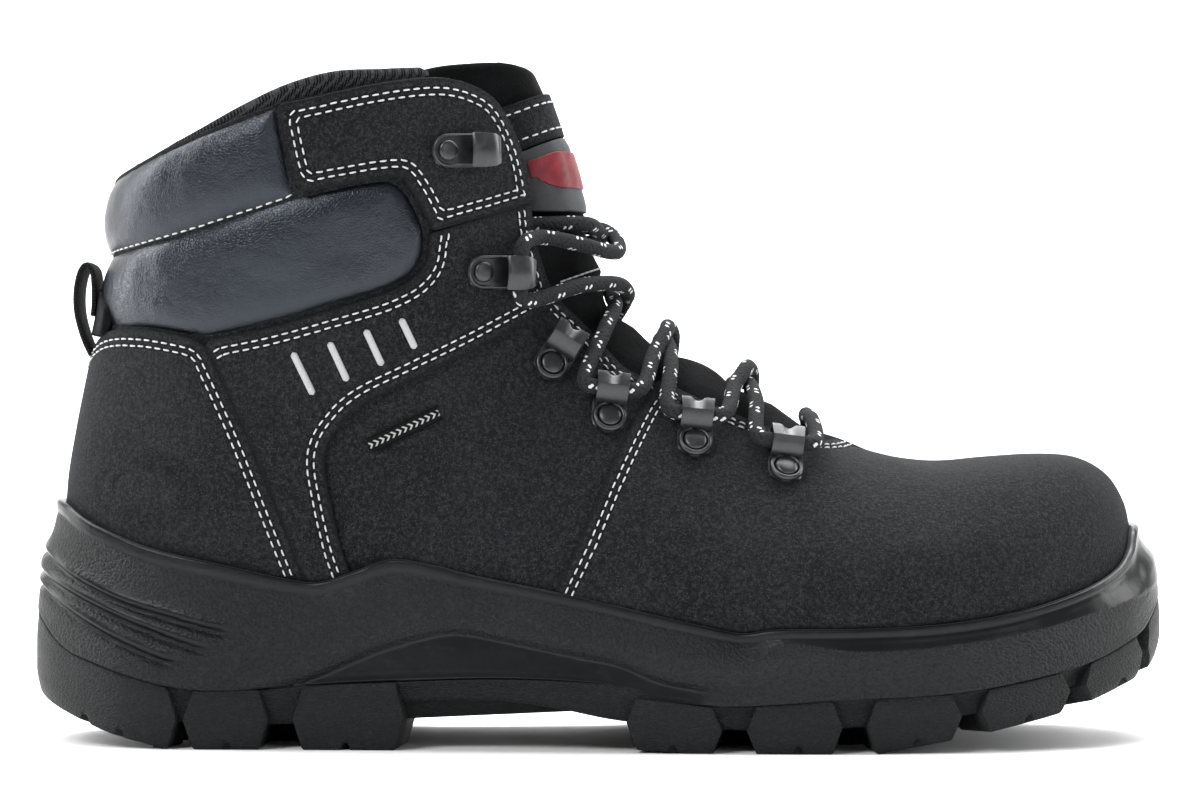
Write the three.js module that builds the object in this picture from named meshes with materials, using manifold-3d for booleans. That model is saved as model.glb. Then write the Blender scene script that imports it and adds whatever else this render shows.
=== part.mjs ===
// A right-foot lace-up safety work boot, about 15 cm (6 inch) high, with a steel toe cap.
// Millimetres. +X points to the toe, +Y to the inner (medial) side, +Z up.
// The origin is on the ground, under the centre of the boot.
import * as THREE from "three";
import { mergeVertices } from "three/addons/utils/BufferGeometryUtils.js";
import Module from "manifold-3d";

const wasm = await Module();
wasm.setup();

// ---------------------------------------------------------------- driving dimensions
const LEATHER = 1.8; // upper leather
const OVERLAY = 1.6; // leather sewn over the upper
const GAP = 0.3; // clearance between neighbours
const STIFFENER = 1.9; // steel toe cap, heel stiffener and insole board
const LINING = 2.7; // mesh lining with its foam
const PAD = 2.2; // how far the collar pads stand out of the upper
const TONGUE = 4.0; // padded tongue
const LACE_RADIUS = 2.0;
const HARDWARE_SHEET = 1.0; // thickness of the hooks' and loops' metal
const SLOT = 4.9; // clear height under a hook or loop
const LATERAL = -1;
const MEDIAL = 1;
const SIDES = { lateral: LATERAL, medial: MEDIAL };
const REACH = 80; // half the depth of a cutting prism, more than half the boot's width

// Offsets of the upper's layers from the outer face of the upper leather.
const LAYER = {
  overlay: [GAP, GAP + OVERLAY],
  leather: [-LEATHER, 0],
  stiffener: [-LEATHER - GAP - STIFFENER, -LEATHER - GAP],
  lining: [-4.3 - LINING, -4.3],
  pad: [-4.0, PAD],
  shank: [-1.7, -0.2],
};

// The upper's sections, from the tip of the toe over the instep to the collar. Each is a closed
// ring in a plane through two points of the side view: front (on the instep line) and back (on
// the sole and heel line). half is half its width, centre its sideways shift to the medial side,
// widest the share of the way from front to back at which it is widest, and the last two are the
// superellipse exponents on the front's side and on the back's side.
const SECTIONS = [
  { front: [149.9, 49.9], back: [149.9, 49.9], half: 0, centre: 6, widest: 0.6, round: [2.2, 2.4] },
  { front: [149.2, 62.0], back: [149.3, 38.6], half: 10, centre: 6, widest: 0.6, round: [2.2, 2.4] },
  { front: [146.8, 69.0], back: [146.5, 34.4], half: 20, centre: 5.8, widest: 0.6, round: [2.2, 2.5] },
  { front: [142.3, 74.8], back: [141.7, 32.2], half: 28, centre: 5.4, widest: 0.6, round: [2.2, 2.6] },
  { front: [134.1, 79.0], back: [133.2, 30.4], half: 37, centre: 4.6, widest: 0.61, round: [2.3, 2.8] },
  { front: [122.8, 80.0], back: [121.4, 28.8], half: 44, centre: 3.4, widest: 0.62, round: [2.3, 3.0] },
  { front: [108.7, 79.2], back: [107.3, 26.9], half: 48.2, centre: 1.9, widest: 0.63, round: [2.2, 3.0] },
  { front: [91.8, 78.1], back: [89.0, 24.8], half: 50.6, centre: 0.8, widest: 0.65, round: [2.05, 3.0] },
  { front: [75.7, 80.8], back: [70.6, 23.1], half: 51.0, centre: 0.2, widest: 0.67, round: [1.9, 3.0] },
  { front: [60.8, 87.3], back: [50.9, 22.6], half: 50.0, centre: -0.4, widest: 0.69, round: [1.75, 3.0] },
  { front: [46.7, 95.3], back: [28.3, 23.1], half: 47.5, centre: -1.4, widest: 0.69, round: [1.65, 3.0] },
  { front: [32.0, 103.0], back: [3.0, 24.5], half: 44.3, centre: -2.2, widest: 0.68, round: [1.62, 2.9] },
  { front: [20.0, 108.8], back: [-25.2, 26.5], half: 41.8, centre: -2.0, widest: 0.66, round: [1.65, 2.8] },
  { front: [9.5, 115.2], back: [-56.3, 28.3], half: 40.2, centre: -1.3, widest: 0.63, round: [1.72, 2.7] },
  { front: [4.0, 120.5], back: [-87.3, 29.4], half: 39.4, centre: -0.5, widest: 0.6, round: [1.8, 2.6] },
  { front: [1.2, 127.0], back: [-118.3, 30.5], half: 38.8, centre: 0, widest: 0.57, round: [1.85, 2.5] },
  { front: [-1.3, 133.5], back: [-138.5, 36.0], half: 38.4, centre: 0, widest: 0.54, round: [1.9, 2.4] },
  { front: [-2.8, 140.0], back: [-147.6, 53.0], half: 38.4, centre: 0, widest: 0.52, round: [1.9, 2.2] },
  { front: [-4.3, 146.5], back: [-148.0, 70.0], half: 39.0, centre: 0, widest: 0.5, round: [1.9, 2.1] },
  { front: [-6.0, 152.5], back: [-145.4, 87.0], half: 39.8, centre: 0, widest: 0.5, round: [1.9, 2.1] },
  { front: [-8.0, 160.0], back: [-142.0, 103.5], half: 41.0, centre: 0, widest: 0.5, round: [1.95, 2.1] },
  { front: [-10.5, 167.5], back: [-138.8, 118.0], half: 42.2, centre: 0, widest: 0.5, round: [2.0, 2.15] },
  { front: [-13.0, 175.0], back: [-137.2, 130.0], half: 43.4, centre: 0, widest: 0.5, round: [2.0, 2.2] },
  { front: [-16.0, 183.0], back: [-136.8, 142.0], half: 44.6, centre: 0, widest: 0.5, round: [2.0, 2.2] },
  { front: [-19.0, 190.0], back: [-136.5, 154.0], half: 45.6, centre: 0, widest: 0.5, round: [2.0, 2.2] },
  { front: [-22.0, 199.0], back: [-136.0, 171.0], half: 46.4, centre: 0, widest: 0.5, round: [2.0, 2.2] },
];
const RINGS = 23; // lattice rings from toe to collar
const SPOKES = 20; // lattice points round each ring

// Lines of the side view, [x, z]; each inner list is one smooth stretch, and stretches meet at corners.
const THROAT_LINE = [
  [-30, 186], [-26.6, 172.6], [-22.4, 162.7], [-19.8, 151], [-18, 138.7], [-15.2, 130], [-11, 122.7],
  [-4, 115.8], [1.6, 109.6], [7.5, 103.6], [17, 99.2], [32, 93.2], [45, 88], [56.5, 84.6], [64, 83.8],
  [72, 85.6],
];
const VAMP_SEAM = [
  [22, 112], [15.7, 98.4], [11.4, 92.2], [3, 75.3], [-5.5, 55.6], [-12.3, 41.5], [-20, 18],
];
const COLLAR_LINE = [
  [-150, 148], [-140, 150.5], [-135.8, 155.7], [-129.6, 158.6], [-112.7, 165.6], [-87.3, 174.8],
  [-76, 177.2], [-61.9, 180.4], [-47.8, 182.5], [-39.3, 182], [-31.5, 178.6], [-26.6, 172.6],
];
const LINING_LINE = [
  [-150, 150], [-140, 152], [-134, 157], [-122.5, 162.8], [-109.8, 168.6], [-97, 175], [-84.5, 180.4],
  [-71.8, 183.8], [-59, 184.7], [-42, 186], [-20, 187],
];
const PAD_SEAM = [
  [-150, 133.5], [-138.6, 134.6], [-126.8, 136.8], [-112.7, 140.2], [-98.6, 144.4], [-82.5, 149.6],
];
const PAD_UPPER_OUTLINE = [
  PAD_SEAM,
  [[-82.5, 149.6], [-84.6, 160], [-87.3, 174.8]],
  [[-87.3, 174.8], [-112.7, 165.6], [-129.6, 158.6], [-135.8, 155.7], [-140, 150.5], [-150, 148]],
];
const PAD_LOWER_OUTLINE = [
  [[-150, 118], [-138.6, 118], [-133.8, 115.6], [-122.5, 114.8], [-107, 112.8], [-90.1, 116.2],
    [-73.2, 121], [-56.3, 126.5], [-49.4, 132.6], [-48.2, 140.2], [-50.6, 147.2], [-55, 153.2],
    [-61.9, 154.1], [-82.5, 149.6]],
  [...PAD_SEAM].reverse(),
];
const COUNTER_OUTLINE = [
  [[-160, 101], [-146, 101.5], [-142, 107], [-138.5, 111.8], [-133, 114.2], [-123.9, 114.2],
    [-111.8, 112], [-107, 109.6]],
  [[-107, 109.6], [-101.4, 97.9], [-95.2, 83.8], [-87.3, 64], [-79.5, 44.5], [-74, 30]],
  [[-74, 30], [-160, 30]],
];
const ANKLE_OUTLINE = [
  [[-107, 109.6], [-106.6, 111.2], [-90.1, 114.8], [-73.2, 119.6], [-56.3, 125.1], [-48.2, 131.6],
    [-46.6, 140.6]],
  [[-46.6, 140.6], [-19.9, 149.5]],
  [[-19.9, 149.5], [-18.3, 138.7], [-14.6, 126], [-13.2, 120.6]],
  [[-13.2, 120.6], [-33.7, 109.1], [-50.6, 100.7], [-64.7, 93.6], [-71.8, 86.6], [-74.9, 79.5],
    [-73.7, 69.7], [-70.4, 55.6], [-66.5, 44.5], [-62, 30]],
  [[-62, 30], [-74, 30]],
  [[-74, 30], [-79.5, 44.5], [-87.3, 64], [-95.2, 83.8], [-101.4, 97.9], [-107, 109.6]],
];
const FLAP_OUTLINE = [
  [[-87.3, 174.8], [-76, 177.2], [-61.9, 180.4], [-47.8, 182.5], [-39.3, 182], [-31.5, 178.6],
    [-26.6, 172.6], [-22.4, 162.7], [-19.9, 151.4]],
  [[-19.9, 151.4], [-21.5, 149], [-46, 141.2]],
  [[-46, 141.2], [-48.4, 146.4], [-52.4, 153.2], [-57, 155.6], [-80.5, 151.4]],
  [[-80.5, 151.4], [-83.6, 157], [-87.3, 174.8]],
];
const BACKSTAY_OUTLINE = [
  [[-148, 113.6], [-136, 114.2]],
  [[-136, 114.2], [-134.4, 116.2], [-136.4, 122], [-139.4, 127]],
  [[-139.4, 127], [-148, 127]],
];

// Reflective bars: upper and lower end of each centre line in the side view.
const BARS = [
  [[-83.0, 107.2], [-78.3, 97.3]],
  [[-73.2, 110.0], [-69.2, 101.0]],
  [[-63.6, 113.4], [-59.9, 105.2]],
  [[-54.2, 116.5], [-51.1, 109.8]],
];
const BAR_WIDTH = 1.9;

// The sole. Half widths and sideways shift along the boot, at the sole's widest level.
const SOLE_PLAN = [
  { x: 158.8, half: 0, centre: 6 }, { x: 156.6, half: 13.5, centre: 6 },
  { x: 150, half: 28, centre: 5.6 }, { x: 140, half: 39, centre: 4.9 },
  { x: 125, half: 48.3, centre: 3.4 }, { x: 105, half: 54.3, centre: 1.8 },
  { x: 85, half: 56.4, centre: 0.8 }, { x: 65, half: 57.2, centre: 0 }, { x: 45, half: 56.0, centre: -0.8 },
  { x: 25, half: 53.4, centre: -1.6 }, { x: 0, half: 49.8, centre: -2.4 }, { x: -30, half: 46, centre: -2 },
  { x: -60, half: 43.6, centre: -0.9 }, { x: -90, half: 42.8, centre: 0 },
  { x: -115, half: 41.2, centre: 0 },
  { x: -135, half: 36, centre: 0 }, { x: -150, half: 24, centre: 0 }, { x: -156.6, half: 12.5, centre: 0 },
  { x: -158.8, half: 0, centre: 0 },
];
const FEATHER_LINE = [
  [-158.8, 67], [-152, 66], [-141, 60], [-124, 54], [-104, 49.6], [-84.5, 45.4], [-76, 44.8], [-66, 48],
  [-56.3, 51], [-45, 49.4], [-33.7, 46.6], [-11, 42], [11.4, 36.9], [28.3, 33], [38.2, 31.2], [48, 32.4],
  [70.6, 32.6], [93.2, 33.8], [113, 36.7], [130, 41.5], [143, 47.2], [149, 53], [152, 58.5], [158.8, 61],
];
const WELT_LINE = [ // where the midsole meets the outsole
  [-158.8, 38], [-149, 27.5], [-138.3, 22.8], [-120.3, 17.4], [-103.6, 15.8], [-77.1, 17.6],
  [-55.1, 18.6], [-28.1, 19.5], [0, 18.3], [11.4, 14.4], [28.3, 12.6], [45.3, 13], [64.2, 14.7],
  [84.7, 15.2], [101.9, 16.8], [120.8, 20.2], [135.8, 24], [148.8, 30], [153.3, 34], [158.8, 42],
];
const TREAD_LINE = [ // the lugs' ground line
  [-158.8, 17], [-153.3, 12.1], [-141.7, 7], [-131.8, 3.4], [-121.7, 1.2], [-115, 0], [-52, 0], [10, 0.8],
  [22, 0], [70, 0], [78, 0.9], [95.2, 3.6], [105.3, 5.6], [125.3, 10.2], [134.1, 13.1], [148.5, 18.6],
  [153.3, 21.4], [158.8, 27.6],
];
const GROOVE_LINE = [ // the outsole's underside between the lugs
  [-158.8, 22], [-140, 13], [-115.5, 7], [-82.8, 7], [-55.1, 12.4], [-40.5, 13.5], [-26.1, 13.3],
  [-11.7, 11.4], [6.1, 8.2], [32.6, 6.2], [65, 6.6], [97.4, 9.6], [127, 15.6], [151, 23.6], [158.8, 31],
];
// The side lugs in the side view: where each starts and ends at the ground.
const SIDE_LUGS = [
  [-162, -118], [-110.1, -92.1], [-80.2, -56], [10, 30.6], [42.2, 63], [74, 95.2], [105.3, 125.3],
  [134.1, 148.5], [153.4, 162],
];
const CENTRE_LUGS = [[-126, -106], [-96, -76], [24, 44], [56, 76], [88, 108], [119, 136]];
const LUG_SPREAD = 2.4; // how much wider a lug is half-way up than at the ground
const SOLE_POINTS = 30; // outline points on each side of the sole

// Lace hardware: side-view position of the rivet, and the side-view direction to the throat.
const LOOPS = [
  { at: [50.6, 75.2], towards: [0.12, 1] },
  { at: [25.8, 82.6], towards: [0.1, 1] },
  { at: [2.4, 89.6], towards: [0.12, 1] },
  { at: [-13.6, 104.2], towards: [0.5, 0.8] },
];
const HOOKS = [
  { at: [-29.2, 130.2], towards: [1, -0.02] },
  { at: [-38.6, 163.0], towards: [1, 0.02] },
];

// ---------------------------------------------------------------- solids and outlines
function solidFrom(geometry) {
  const bare = new THREE.BufferGeometry().setAttribute("position", geometry.getAttribute("position"));
  if (geometry.index) bare.setIndex(geometry.index);
  const merged = mergeVertices(bare, 1e-4);
  return new wasm.Manifold(
    new wasm.Mesh({
      numProp: 3,
      vertProperties: new Float32Array(merged.attributes.position.array),
      triVerts: new Uint32Array(merged.index.array),
    }),
  );
}

function geometryFrom(solid) {
  const mesh = solid.getMesh();
  const points = new Float32Array(mesh.numVert * 3);
  for (let i = 0; i < mesh.numVert; i++) {
    points.set(mesh.vertProperties.subarray(i * mesh.numProp, i * mesh.numProp + 3), i * 3);
  }
  return new THREE.BufferGeometry()
    .setAttribute("position", new THREE.BufferAttribute(points, 3))
    .setIndex(new THREE.BufferAttribute(new Uint32Array(mesh.triVerts), 1));
}

// A smooth line through side-view points, with perStretch pieces between neighbours.
function smooth(points, perStretch = 2) {
  const curve = new THREE.SplineCurve(points.map(([x, y]) => new THREE.Vector2(x, y)));
  return curve.getPoints((points.length - 1) * perStretch).map((p) => [p.x, p.y]);
}

// The height of a side-view line at x.
function heightAt(line, x) {
  const last = line.length - 1;
  if (x <= line[0][0]) return line[0][1];
  if (x >= line[last][0]) return line[last][1];
  const i = line.findIndex(([px]) => px > x);
  const [x0, z0] = line[i - 1];
  const [x1, z1] = line[i];
  return z0 + ((z1 - z0) * (x - x0)) / (x1 - x0);
}

// A closed outline from its stretches; the last point is dropped where it repeats the first.
function outlineOf(stretches) {
  const points = stretches.flatMap((stretch, i) => {
    const line = stretch.length > 2 ? smooth(stretch) : stretch;
    return i ? line.slice(1) : line;
  });
  const [[x0, z0], [x1, z1]] = [points[0], points.at(-1)];
  return Math.hypot(x1 - x0, z1 - z0) < 0.01 ? points.slice(0, -1) : points;
}

// A side-view outline pushed out sideways from y0 to y1.
function sidePrism(outline, y0 = -REACH, y1 = REACH) {
  const shape = new THREE.Shape(outline.map(([x, z]) => new THREE.Vector2(x, z)));
  const geometry = new THREE.ExtrudeGeometry(shape, { depth: y1 - y0, bevelEnabled: false });
  return solidFrom(geometry.rotateX(Math.PI / 2).translate(0, y1, 0));
}

// A plan-view outline pushed up from z0 to z1.
function planPrism(outline, z0, z1) {
  const shape = new THREE.Shape(outline.map(([x, y]) => new THREE.Vector2(x, y)));
  const geometry = new THREE.ExtrudeGeometry(shape, { depth: z1 - z0, bevelEnabled: false });
  return solidFrom(geometry.translate(0, 0, z0));
}

function box(x0, x1, y0, y1, z0, z1) {
  const geometry = new THREE.BoxGeometry(x1 - x0, y1 - y0, z1 - z0);
  return solidFrom(geometry.translate((x0 + x1) / 2, (y0 + y1) / 2, (z0 + z1) / 2));
}

const unionOf = (solids) => solids.reduce((sum, solid) => sum.add(solid));

// ---------------------------------------------------------------- the upper's surface
const key = (read) =>
  new THREE.CatmullRomCurve3(SECTIONS.map((s) => new THREE.Vector3(...read(s))), false, "catmullrom");
const FRONTS = key((s) => [...s.front, s.half]);
const BACKS = key((s) => [...s.back, s.centre]);
const ROUNDS = key((s) => [s.widest, ...s.round]);

// A point of the upper: u runs from the toe (0) to the collar (1), v once round the ring from
// the front over the lateral side, the back and the medial side.
function upperPoint(u, v) {
  const front = FRONTS.getPoint(u);
  const back = BACKS.getPoint(u);
  const rounds = ROUNDS.getPoint(u);
  const turn = 2 * Math.PI * v;
  const cos = Math.cos(turn);
  const exponent = 2 / (cos > 0 ? rounds.y : rounds.z);
  const along =
    cos > 0 ? rounds.x * (1 - cos ** exponent) : rounds.x + (1 - rounds.x) * (-cos) ** exponent;
  const sin = Math.sin(turn);
  const across = Math.sign(sin) * Math.abs(sin) ** exponent;
  return new THREE.Vector3(
    front.x + (back.x - front.x) * along,
    back.z - front.z * across,
    front.y + (back.y - front.y) * along,
  );
}

function upperNormal(u, v) {
  if (u <= 0) return new THREE.Vector3(1, 0, 0);
  const step = 4e-3;
  const u0 = Math.max(u - step, 1e-4);
  const u1 = Math.min(u + step, 1);
  const alongU = upperPoint(u1, v).sub(upperPoint(u0, v));
  const alongV = upperPoint(u, v + step).sub(upperPoint(u, v - step));
  return alongU.cross(alongV).normalize();
}

const offsetPoint = (u, v, offset) => upperPoint(u, v).addScaledVector(upperNormal(u, v), offset);

// The lattice of the whole upper at an offset: the toe's tip, then RINGS rings of SPOKES points.
function latticePoints(offset) {
  const points = [offsetPoint(0, 0, offset)];
  for (let ring = 1; ring <= RINGS; ring++) {
    for (let spoke = 0; spoke < SPOKES; spoke++) {
      points.push(offsetPoint(ring / RINGS, spoke / SPOKES, offset));
    }
  }
  return points;
}

function latticeFaces(first, flip) {
  const at = (ring, spoke) => first + 1 + (ring - 1) * SPOKES + (spoke % SPOKES);
  const faces = [];
  const add = (a, b, c) => faces.push(...(flip ? [a, c, b] : [a, b, c]));
  for (let spoke = 0; spoke < SPOKES; spoke++) {
    add(first, at(1, spoke + 1), at(1, spoke));
    for (let ring = 1; ring < RINGS; ring++) {
      add(at(ring, spoke), at(ring, spoke + 1), at(ring + 1, spoke));
      add(at(ring, spoke + 1), at(ring + 1, spoke + 1), at(ring + 1, spoke));
    }
  }
  return faces;
}

function meshSolid(points, faces) {
  const geometry = new THREE.BufferGeometry().setFromPoints(points).setIndex(faces);
  const solid = solidFrom(geometry);
  if (solid.volume() > 0) return solid;
  for (let i = 0; i < faces.length; i += 3) [faces[i + 1], faces[i + 2]] = [faces[i + 2], faces[i + 1]];
  return solidFrom(geometry.setIndex(faces));
}

// A layer of the upper between two offsets, open at the collar.
function layerShell([inner, outer]) {
  const points = [...latticePoints(inner), ...latticePoints(outer)];
  const second = points.length / 2;
  const faces = [...latticeFaces(0, true), ...latticeFaces(second, false)];
  const rim = (base, spoke) => base + 1 + (RINGS - 1) * SPOKES + (spoke % SPOKES);
  for (let spoke = 0; spoke < SPOKES; spoke++) {
    faces.push(rim(0, spoke), rim(second, spoke), rim(second, spoke + 1));
    faces.push(rim(0, spoke), rim(second, spoke + 1), rim(0, spoke + 1));
  }
  return meshSolid(points, faces);
}

// Everything inside an offset of the upper's surface.
function filledUpper(offset) {
  const points = latticePoints(offset);
  const faces = latticeFaces(0, false);
  const lid = points.length;
  const rim = points.slice(-SPOKES);
  points.push(rim.reduce((sum, p) => sum.add(p), new THREE.Vector3()).divideScalar(SPOKES));
  const at = (spoke) => lid - SPOKES + (spoke % SPOKES);
  for (let spoke = 0; spoke < SPOKES; spoke++) faces.push(at(spoke), at(spoke + 1), lid);
  return meshSolid(points, faces);
}

// The surface's point and normal at a side-view position on one side.
function onUpper([x, z], side, offset = 0) {
  const start = side === LATERAL ? 0 : 0.5;
  let best = { miss: Infinity };
  for (let i = 1; i < 60; i++) {
    for (let j = 1; j < 24; j++) {
      const p = upperPoint(i / 60, start + j / 48);
      const miss = Math.hypot(p.x - x, p.z - z);
      if (miss < best.miss) best = { miss, u: i / 60, v: start + j / 48 };
    }
  }
  let { u, v } = best;
  const h = 1e-4;
  for (let round = 0; round < 12; round++) {
    const p = upperPoint(u, v);
    const du = upperPoint(u + h, v).sub(p).divideScalar(h);
    const dv = upperPoint(u, v + h).sub(p).divideScalar(h);
    const det = du.x * dv.z - dv.x * du.z;
    if (Math.abs(det) < 1e-6) break;
    const [ex, ez] = [x - p.x, z - p.z];
    u += THREE.MathUtils.clamp((ex * dv.z - ez * dv.x) / det, -0.02, 0.02);
    v += THREE.MathUtils.clamp((ez * du.x - ex * du.z) / det, -0.02, 0.02);
  }
  const normal = upperNormal(u, v);
  return { point: upperPoint(u, v).addScaledVector(normal, offset), normal };
}

// ---------------------------------------------------------------- regions of the side view
const throatCurve = smooth(THROAT_LINE);
const vampCurve = smooth(VAMP_SEAM);
const TOP = 215;

// Everything in front of the throat line moved backwards by some amount.
function throatRegion(back) {
  const moved = throatCurve.map(([x, z], i) => {
    const [x0, z0] = throatCurve[Math.max(i - 1, 0)];
    const [x1, z1] = throatCurve[Math.min(i + 1, throatCurve.length - 1)];
    const length = Math.hypot(x1 - x0, z1 - z0);
    return [x + ((z1 - z0) / length) * back, z - ((x1 - x0) / length) * back];
  });
  return sidePrism([...moved, [90, 92], [90, TOP], [moved[0][0], TOP]]);
}

const aheadOfVampSeam = (shift) =>
  sidePrism([
    ...vampCurve.map(([x, z]) => [x + shift, z]),
    [vampCurve.at(-1)[0] + shift, -10], [200, -10], [200, TOP], [vampCurve[0][0] + shift, TOP],
  ]);

function belowCollar(line) {
  const curve = smooth(line);
  return sidePrism([
    [-175, -20], [175, -20], [175, curve.at(-1)[1]], ...curve.slice().reverse(), [-175, curve[0][1]],
  ]);
}

// ---------------------------------------------------------------- the sole's outline
const soleSpline = new THREE.CatmullRomCurve3(
  SOLE_PLAN.map(({ x, half, centre }) => new THREE.Vector3(x, half, centre)), false, "centripetal");

// The sole's outline moved inwards: matching lateral and medial points from toe to heel.
function soleOutline(inset) {
  const raw = soleSpline.getPoints(SOLE_POINTS);
  const sideOf = (side) => {
    const at = raw.map((p) => [p.x, p.z + side * p.y]);
    return at.map(([x, y], i) => {
      if (i === 0) return [x - inset, y];
      if (i === raw.length - 1) return [x + inset, y];
      const [x0, y0] = at[i - 1];
      const [x1, y1] = at[i + 1];
      const length = Math.hypot(x1 - x0, y1 - y0);
      const turn = side * inset / length;
      return [x - (y1 - y0) * turn, y + (x1 - x0) * turn];
    });
  };
  return { lateral: sideOf(LATERAL), medial: sideOf(MEDIAL) };
}

function closedOutline(inset) {
  const { lateral, medial } = soleOutline(inset);
  return [...medial, ...lateral.slice(1, -1).reverse()];
}

// A solid between stacked outlines; each level gives an inset and a line or height for z.
function soleStack(levels) {
  const points = [];
  const rings = levels.map(({ inset, z }) => {
    const first = points.length;
    closedOutline(inset).forEach(([x, y]) => points.push(new THREE.Vector3(x, y, z(x))));
    return first;
  });
  const count = 2 * SOLE_POINTS;
  const faces = [];
  for (let level = 1; level < rings.length; level++) {
    for (let i = 0; i < count; i++) {
      const j = (i + 1) % count;
      const [a, b] = [rings[level - 1], rings[level]];
      faces.push(a + i, b + j, a + j, a + i, b + i, b + j);
    }
  }
  const cap = (first, flip) => {
    const add = (a, b, c) => faces.push(first + a, first + (flip ? c : b), first + (flip ? b : c));
    const other = (i) => (count - i) % count;
    for (let i = 0; i < SOLE_POINTS; i++) {
      if (i > 0) add(i, other(i), other(i + 1));
      if (i < SOLE_POINTS - 1) add(i, other(i + 1), i + 1);
    }
  };
  cap(rings[0], true);
  cap(rings.at(-1), false);
  return meshSolid(points, faces);
}

// ---------------------------------------------------------------- layers and cutters
const leather = layerShell(LAYER.leather);
const overlay = layerShell(LAYER.overlay);
const stiffener = layerShell(LAYER.stiffener);
const throat = throatRegion(0);
const collarBelow = belowCollar(COLLAR_LINE);
const halfSpace = (side, from = GAP / 2) =>
  side === LATERAL ? box(-175, 175, -REACH, -from, -20, TOP) : box(-175, 175, from, REACH, -20, TOP);

// Shrinks an outline towards its inside so that neighbours keep their clearance.
function inwards(outline, amount) {
  const area = outline.reduce((sum, [x, z], i) => {
    const [nx, nz] = outline[(i + 1) % outline.length];
    return sum + x * nz - nx * z;
  }, 0);
  const turn = Math.sign(area) * amount;
  return outline.map(([x, z], i) => {
    const [x0, z0] = outline[(i + outline.length - 1) % outline.length];
    const [x1, z1] = outline[(i + 1) % outline.length];
    const length = Math.hypot(x1 - x0, z1 - z0) || 1;
    return [x - ((z1 - z0) / length) * turn, z + ((x1 - x0) / length) * turn];
  });
}

const insetPrism = (stretches, amount) => sidePrism(inwards(outlineOf(stretches), amount));

// ---------------------------------------------------------------- assembly
const boot = new THREE.Group();
const FINISHES = {
  nubuck: { color: 0x34373a, roughness: 0.9, metalness: 0 },
  collar_leather: { color: 0x3b3d45, roughness: 0.5, metalness: 0 },
  suede: { color: 0x17181a, roughness: 1, metalness: 0 },
  mesh_fabric: { color: 0x25272a, roughness: 0.95, metalness: 0 },
  rubber: { color: 0x2c2e31, roughness: 0.75, metalness: 0 },
  midsole_foam: { color: 0x2f3235, roughness: 0.6, metalness: 0 },
  steel: { color: 0xb4b6b8, roughness: 0.35, metalness: 1 },
  board: { color: 0xa89878, roughness: 0.9, metalness: 0 },
  gunmetal: { color: 0x3c3e42, roughness: 0.4, metalness: 0.6 },
  lace: { color: 0x26282a, roughness: 0.85, metalness: 0 },
  plastic: { color: 0x101113, roughness: 0.35, metalness: 0 },
  badge: { color: 0x62666a, roughness: 0.6, metalness: 0 },
  reflective: { color: 0xd8dadb, roughness: 0.4, metalness: 0.2 },
  webbing: { color: 0x202224, roughness: 0.9, metalness: 0 },
};
const materialOf = ([name, finish]) => [name, new THREE.MeshStandardMaterial({ name, ...finish })];
const materials = Object.fromEntries(Object.entries(FINISHES).map(materialOf));

function addPart(name, finish, geometry, frame) {
  const mesh = new THREE.Mesh(geometry, materials[finish]);
  mesh.name = name;
  if (frame) {
    mesh.position.copy(frame.position);
    mesh.quaternion.copy(frame.quaternion);
  }
  boot.add(mesh);
  return mesh;
}

const FLATNESS = 0.06; // how far simplifying may move a surface
const addSolid = (name, finish, solid) => addPart(name, finish, geometryFrom(solid.simplify(FLATNESS)));

// ---------------------------------------------------------------- sole unit
const feather = smooth(FEATHER_LINE, 3);
const welt = smooth(WELT_LINE, 3);
const groove = smooth(GROOVE_LINE, 3);

function midsole() {
  const top = (x) => heightAt(feather, x);
  const foot = (x) => heightAt(welt, x);
  const block = soleStack([
    { inset: 6.6, z: top },
    { inset: 4.4, z: (x) => top(x) - 1.6 },
    { inset: 2.2, z: (x) => 0.55 * top(x) + 0.45 * foot(x) },
    { inset: 0.8, z: (x) => foot(x) + GAP / 2 },
  ]);
  const overlaid = filledUpper(LAYER.overlay[1] + GAP).intersect(
    unionOf([insetPrism(COUNTER_OUTLINE, -GAP), insetPrism(ANKLE_OUTLINE, -GAP)]),
  );
  return block.subtract(filledUpper(GAP)).subtract(overlaid);
}

// One lug in the side view: wider half-way up, cut off at the ground.
const lugOutline = ([start, end]) => {
  const [startZ, endZ] = [heightAt(TREAD_LINE, start), heightAt(TREAD_LINE, end)];
  return [
    [start, -2], [start - LUG_SPREAD, 7 + startZ], [start + 0.5, 14 + startZ], [start + 2, 40],
    [end - 2, 40], [end - 0.5, 14 + endZ], [end + LUG_SPREAD, 7 + endZ], [end, -2],
  ];
};

function outsole() {
  const top = (x) => heightAt(welt, x) - GAP / 2;
  const slab = soleStack([
    { inset: 0.8, z: top },
    { inset: 0.8, z: (x) => top(x) - 0.8 },
    { inset: 3.6, z: (x) => top(x) - 1.6 },
    { inset: 4.2, z: (x) => heightAt(groove, x) },
  ]);
  const full = soleStack([
    { inset: 0, z: (x) => top(x) - 0.4 },
    { inset: 0, z: (x) => 0.5 * top(x) + 0.5 * heightAt(TREAD_LINE, x) },
    { inset: 1.6, z: (x) => heightAt(TREAD_LINE, x) },
  ]);
  const rim = full.subtract(planPrism(closedOutline(24), -5, 60));
  const sideLugs = unionOf(SIDE_LUGS.map((lug) => sidePrism(lugOutline(lug)))).intersect(rim);
  const centre = planPrism(closedOutline(30), -5, 60);
  const centreBlocks = unionOf(CENTRE_LUGS.map((lug) => sidePrism(lugOutline(lug))));
  const centreLugs = centreBlocks.intersect(full.intersect(centre));
  return slab.add(sideLugs).add(centreLugs);
}

addSolid("outsole", "rubber", outsole());
addSolid("midsole", "midsole_foam", midsole());

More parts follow.
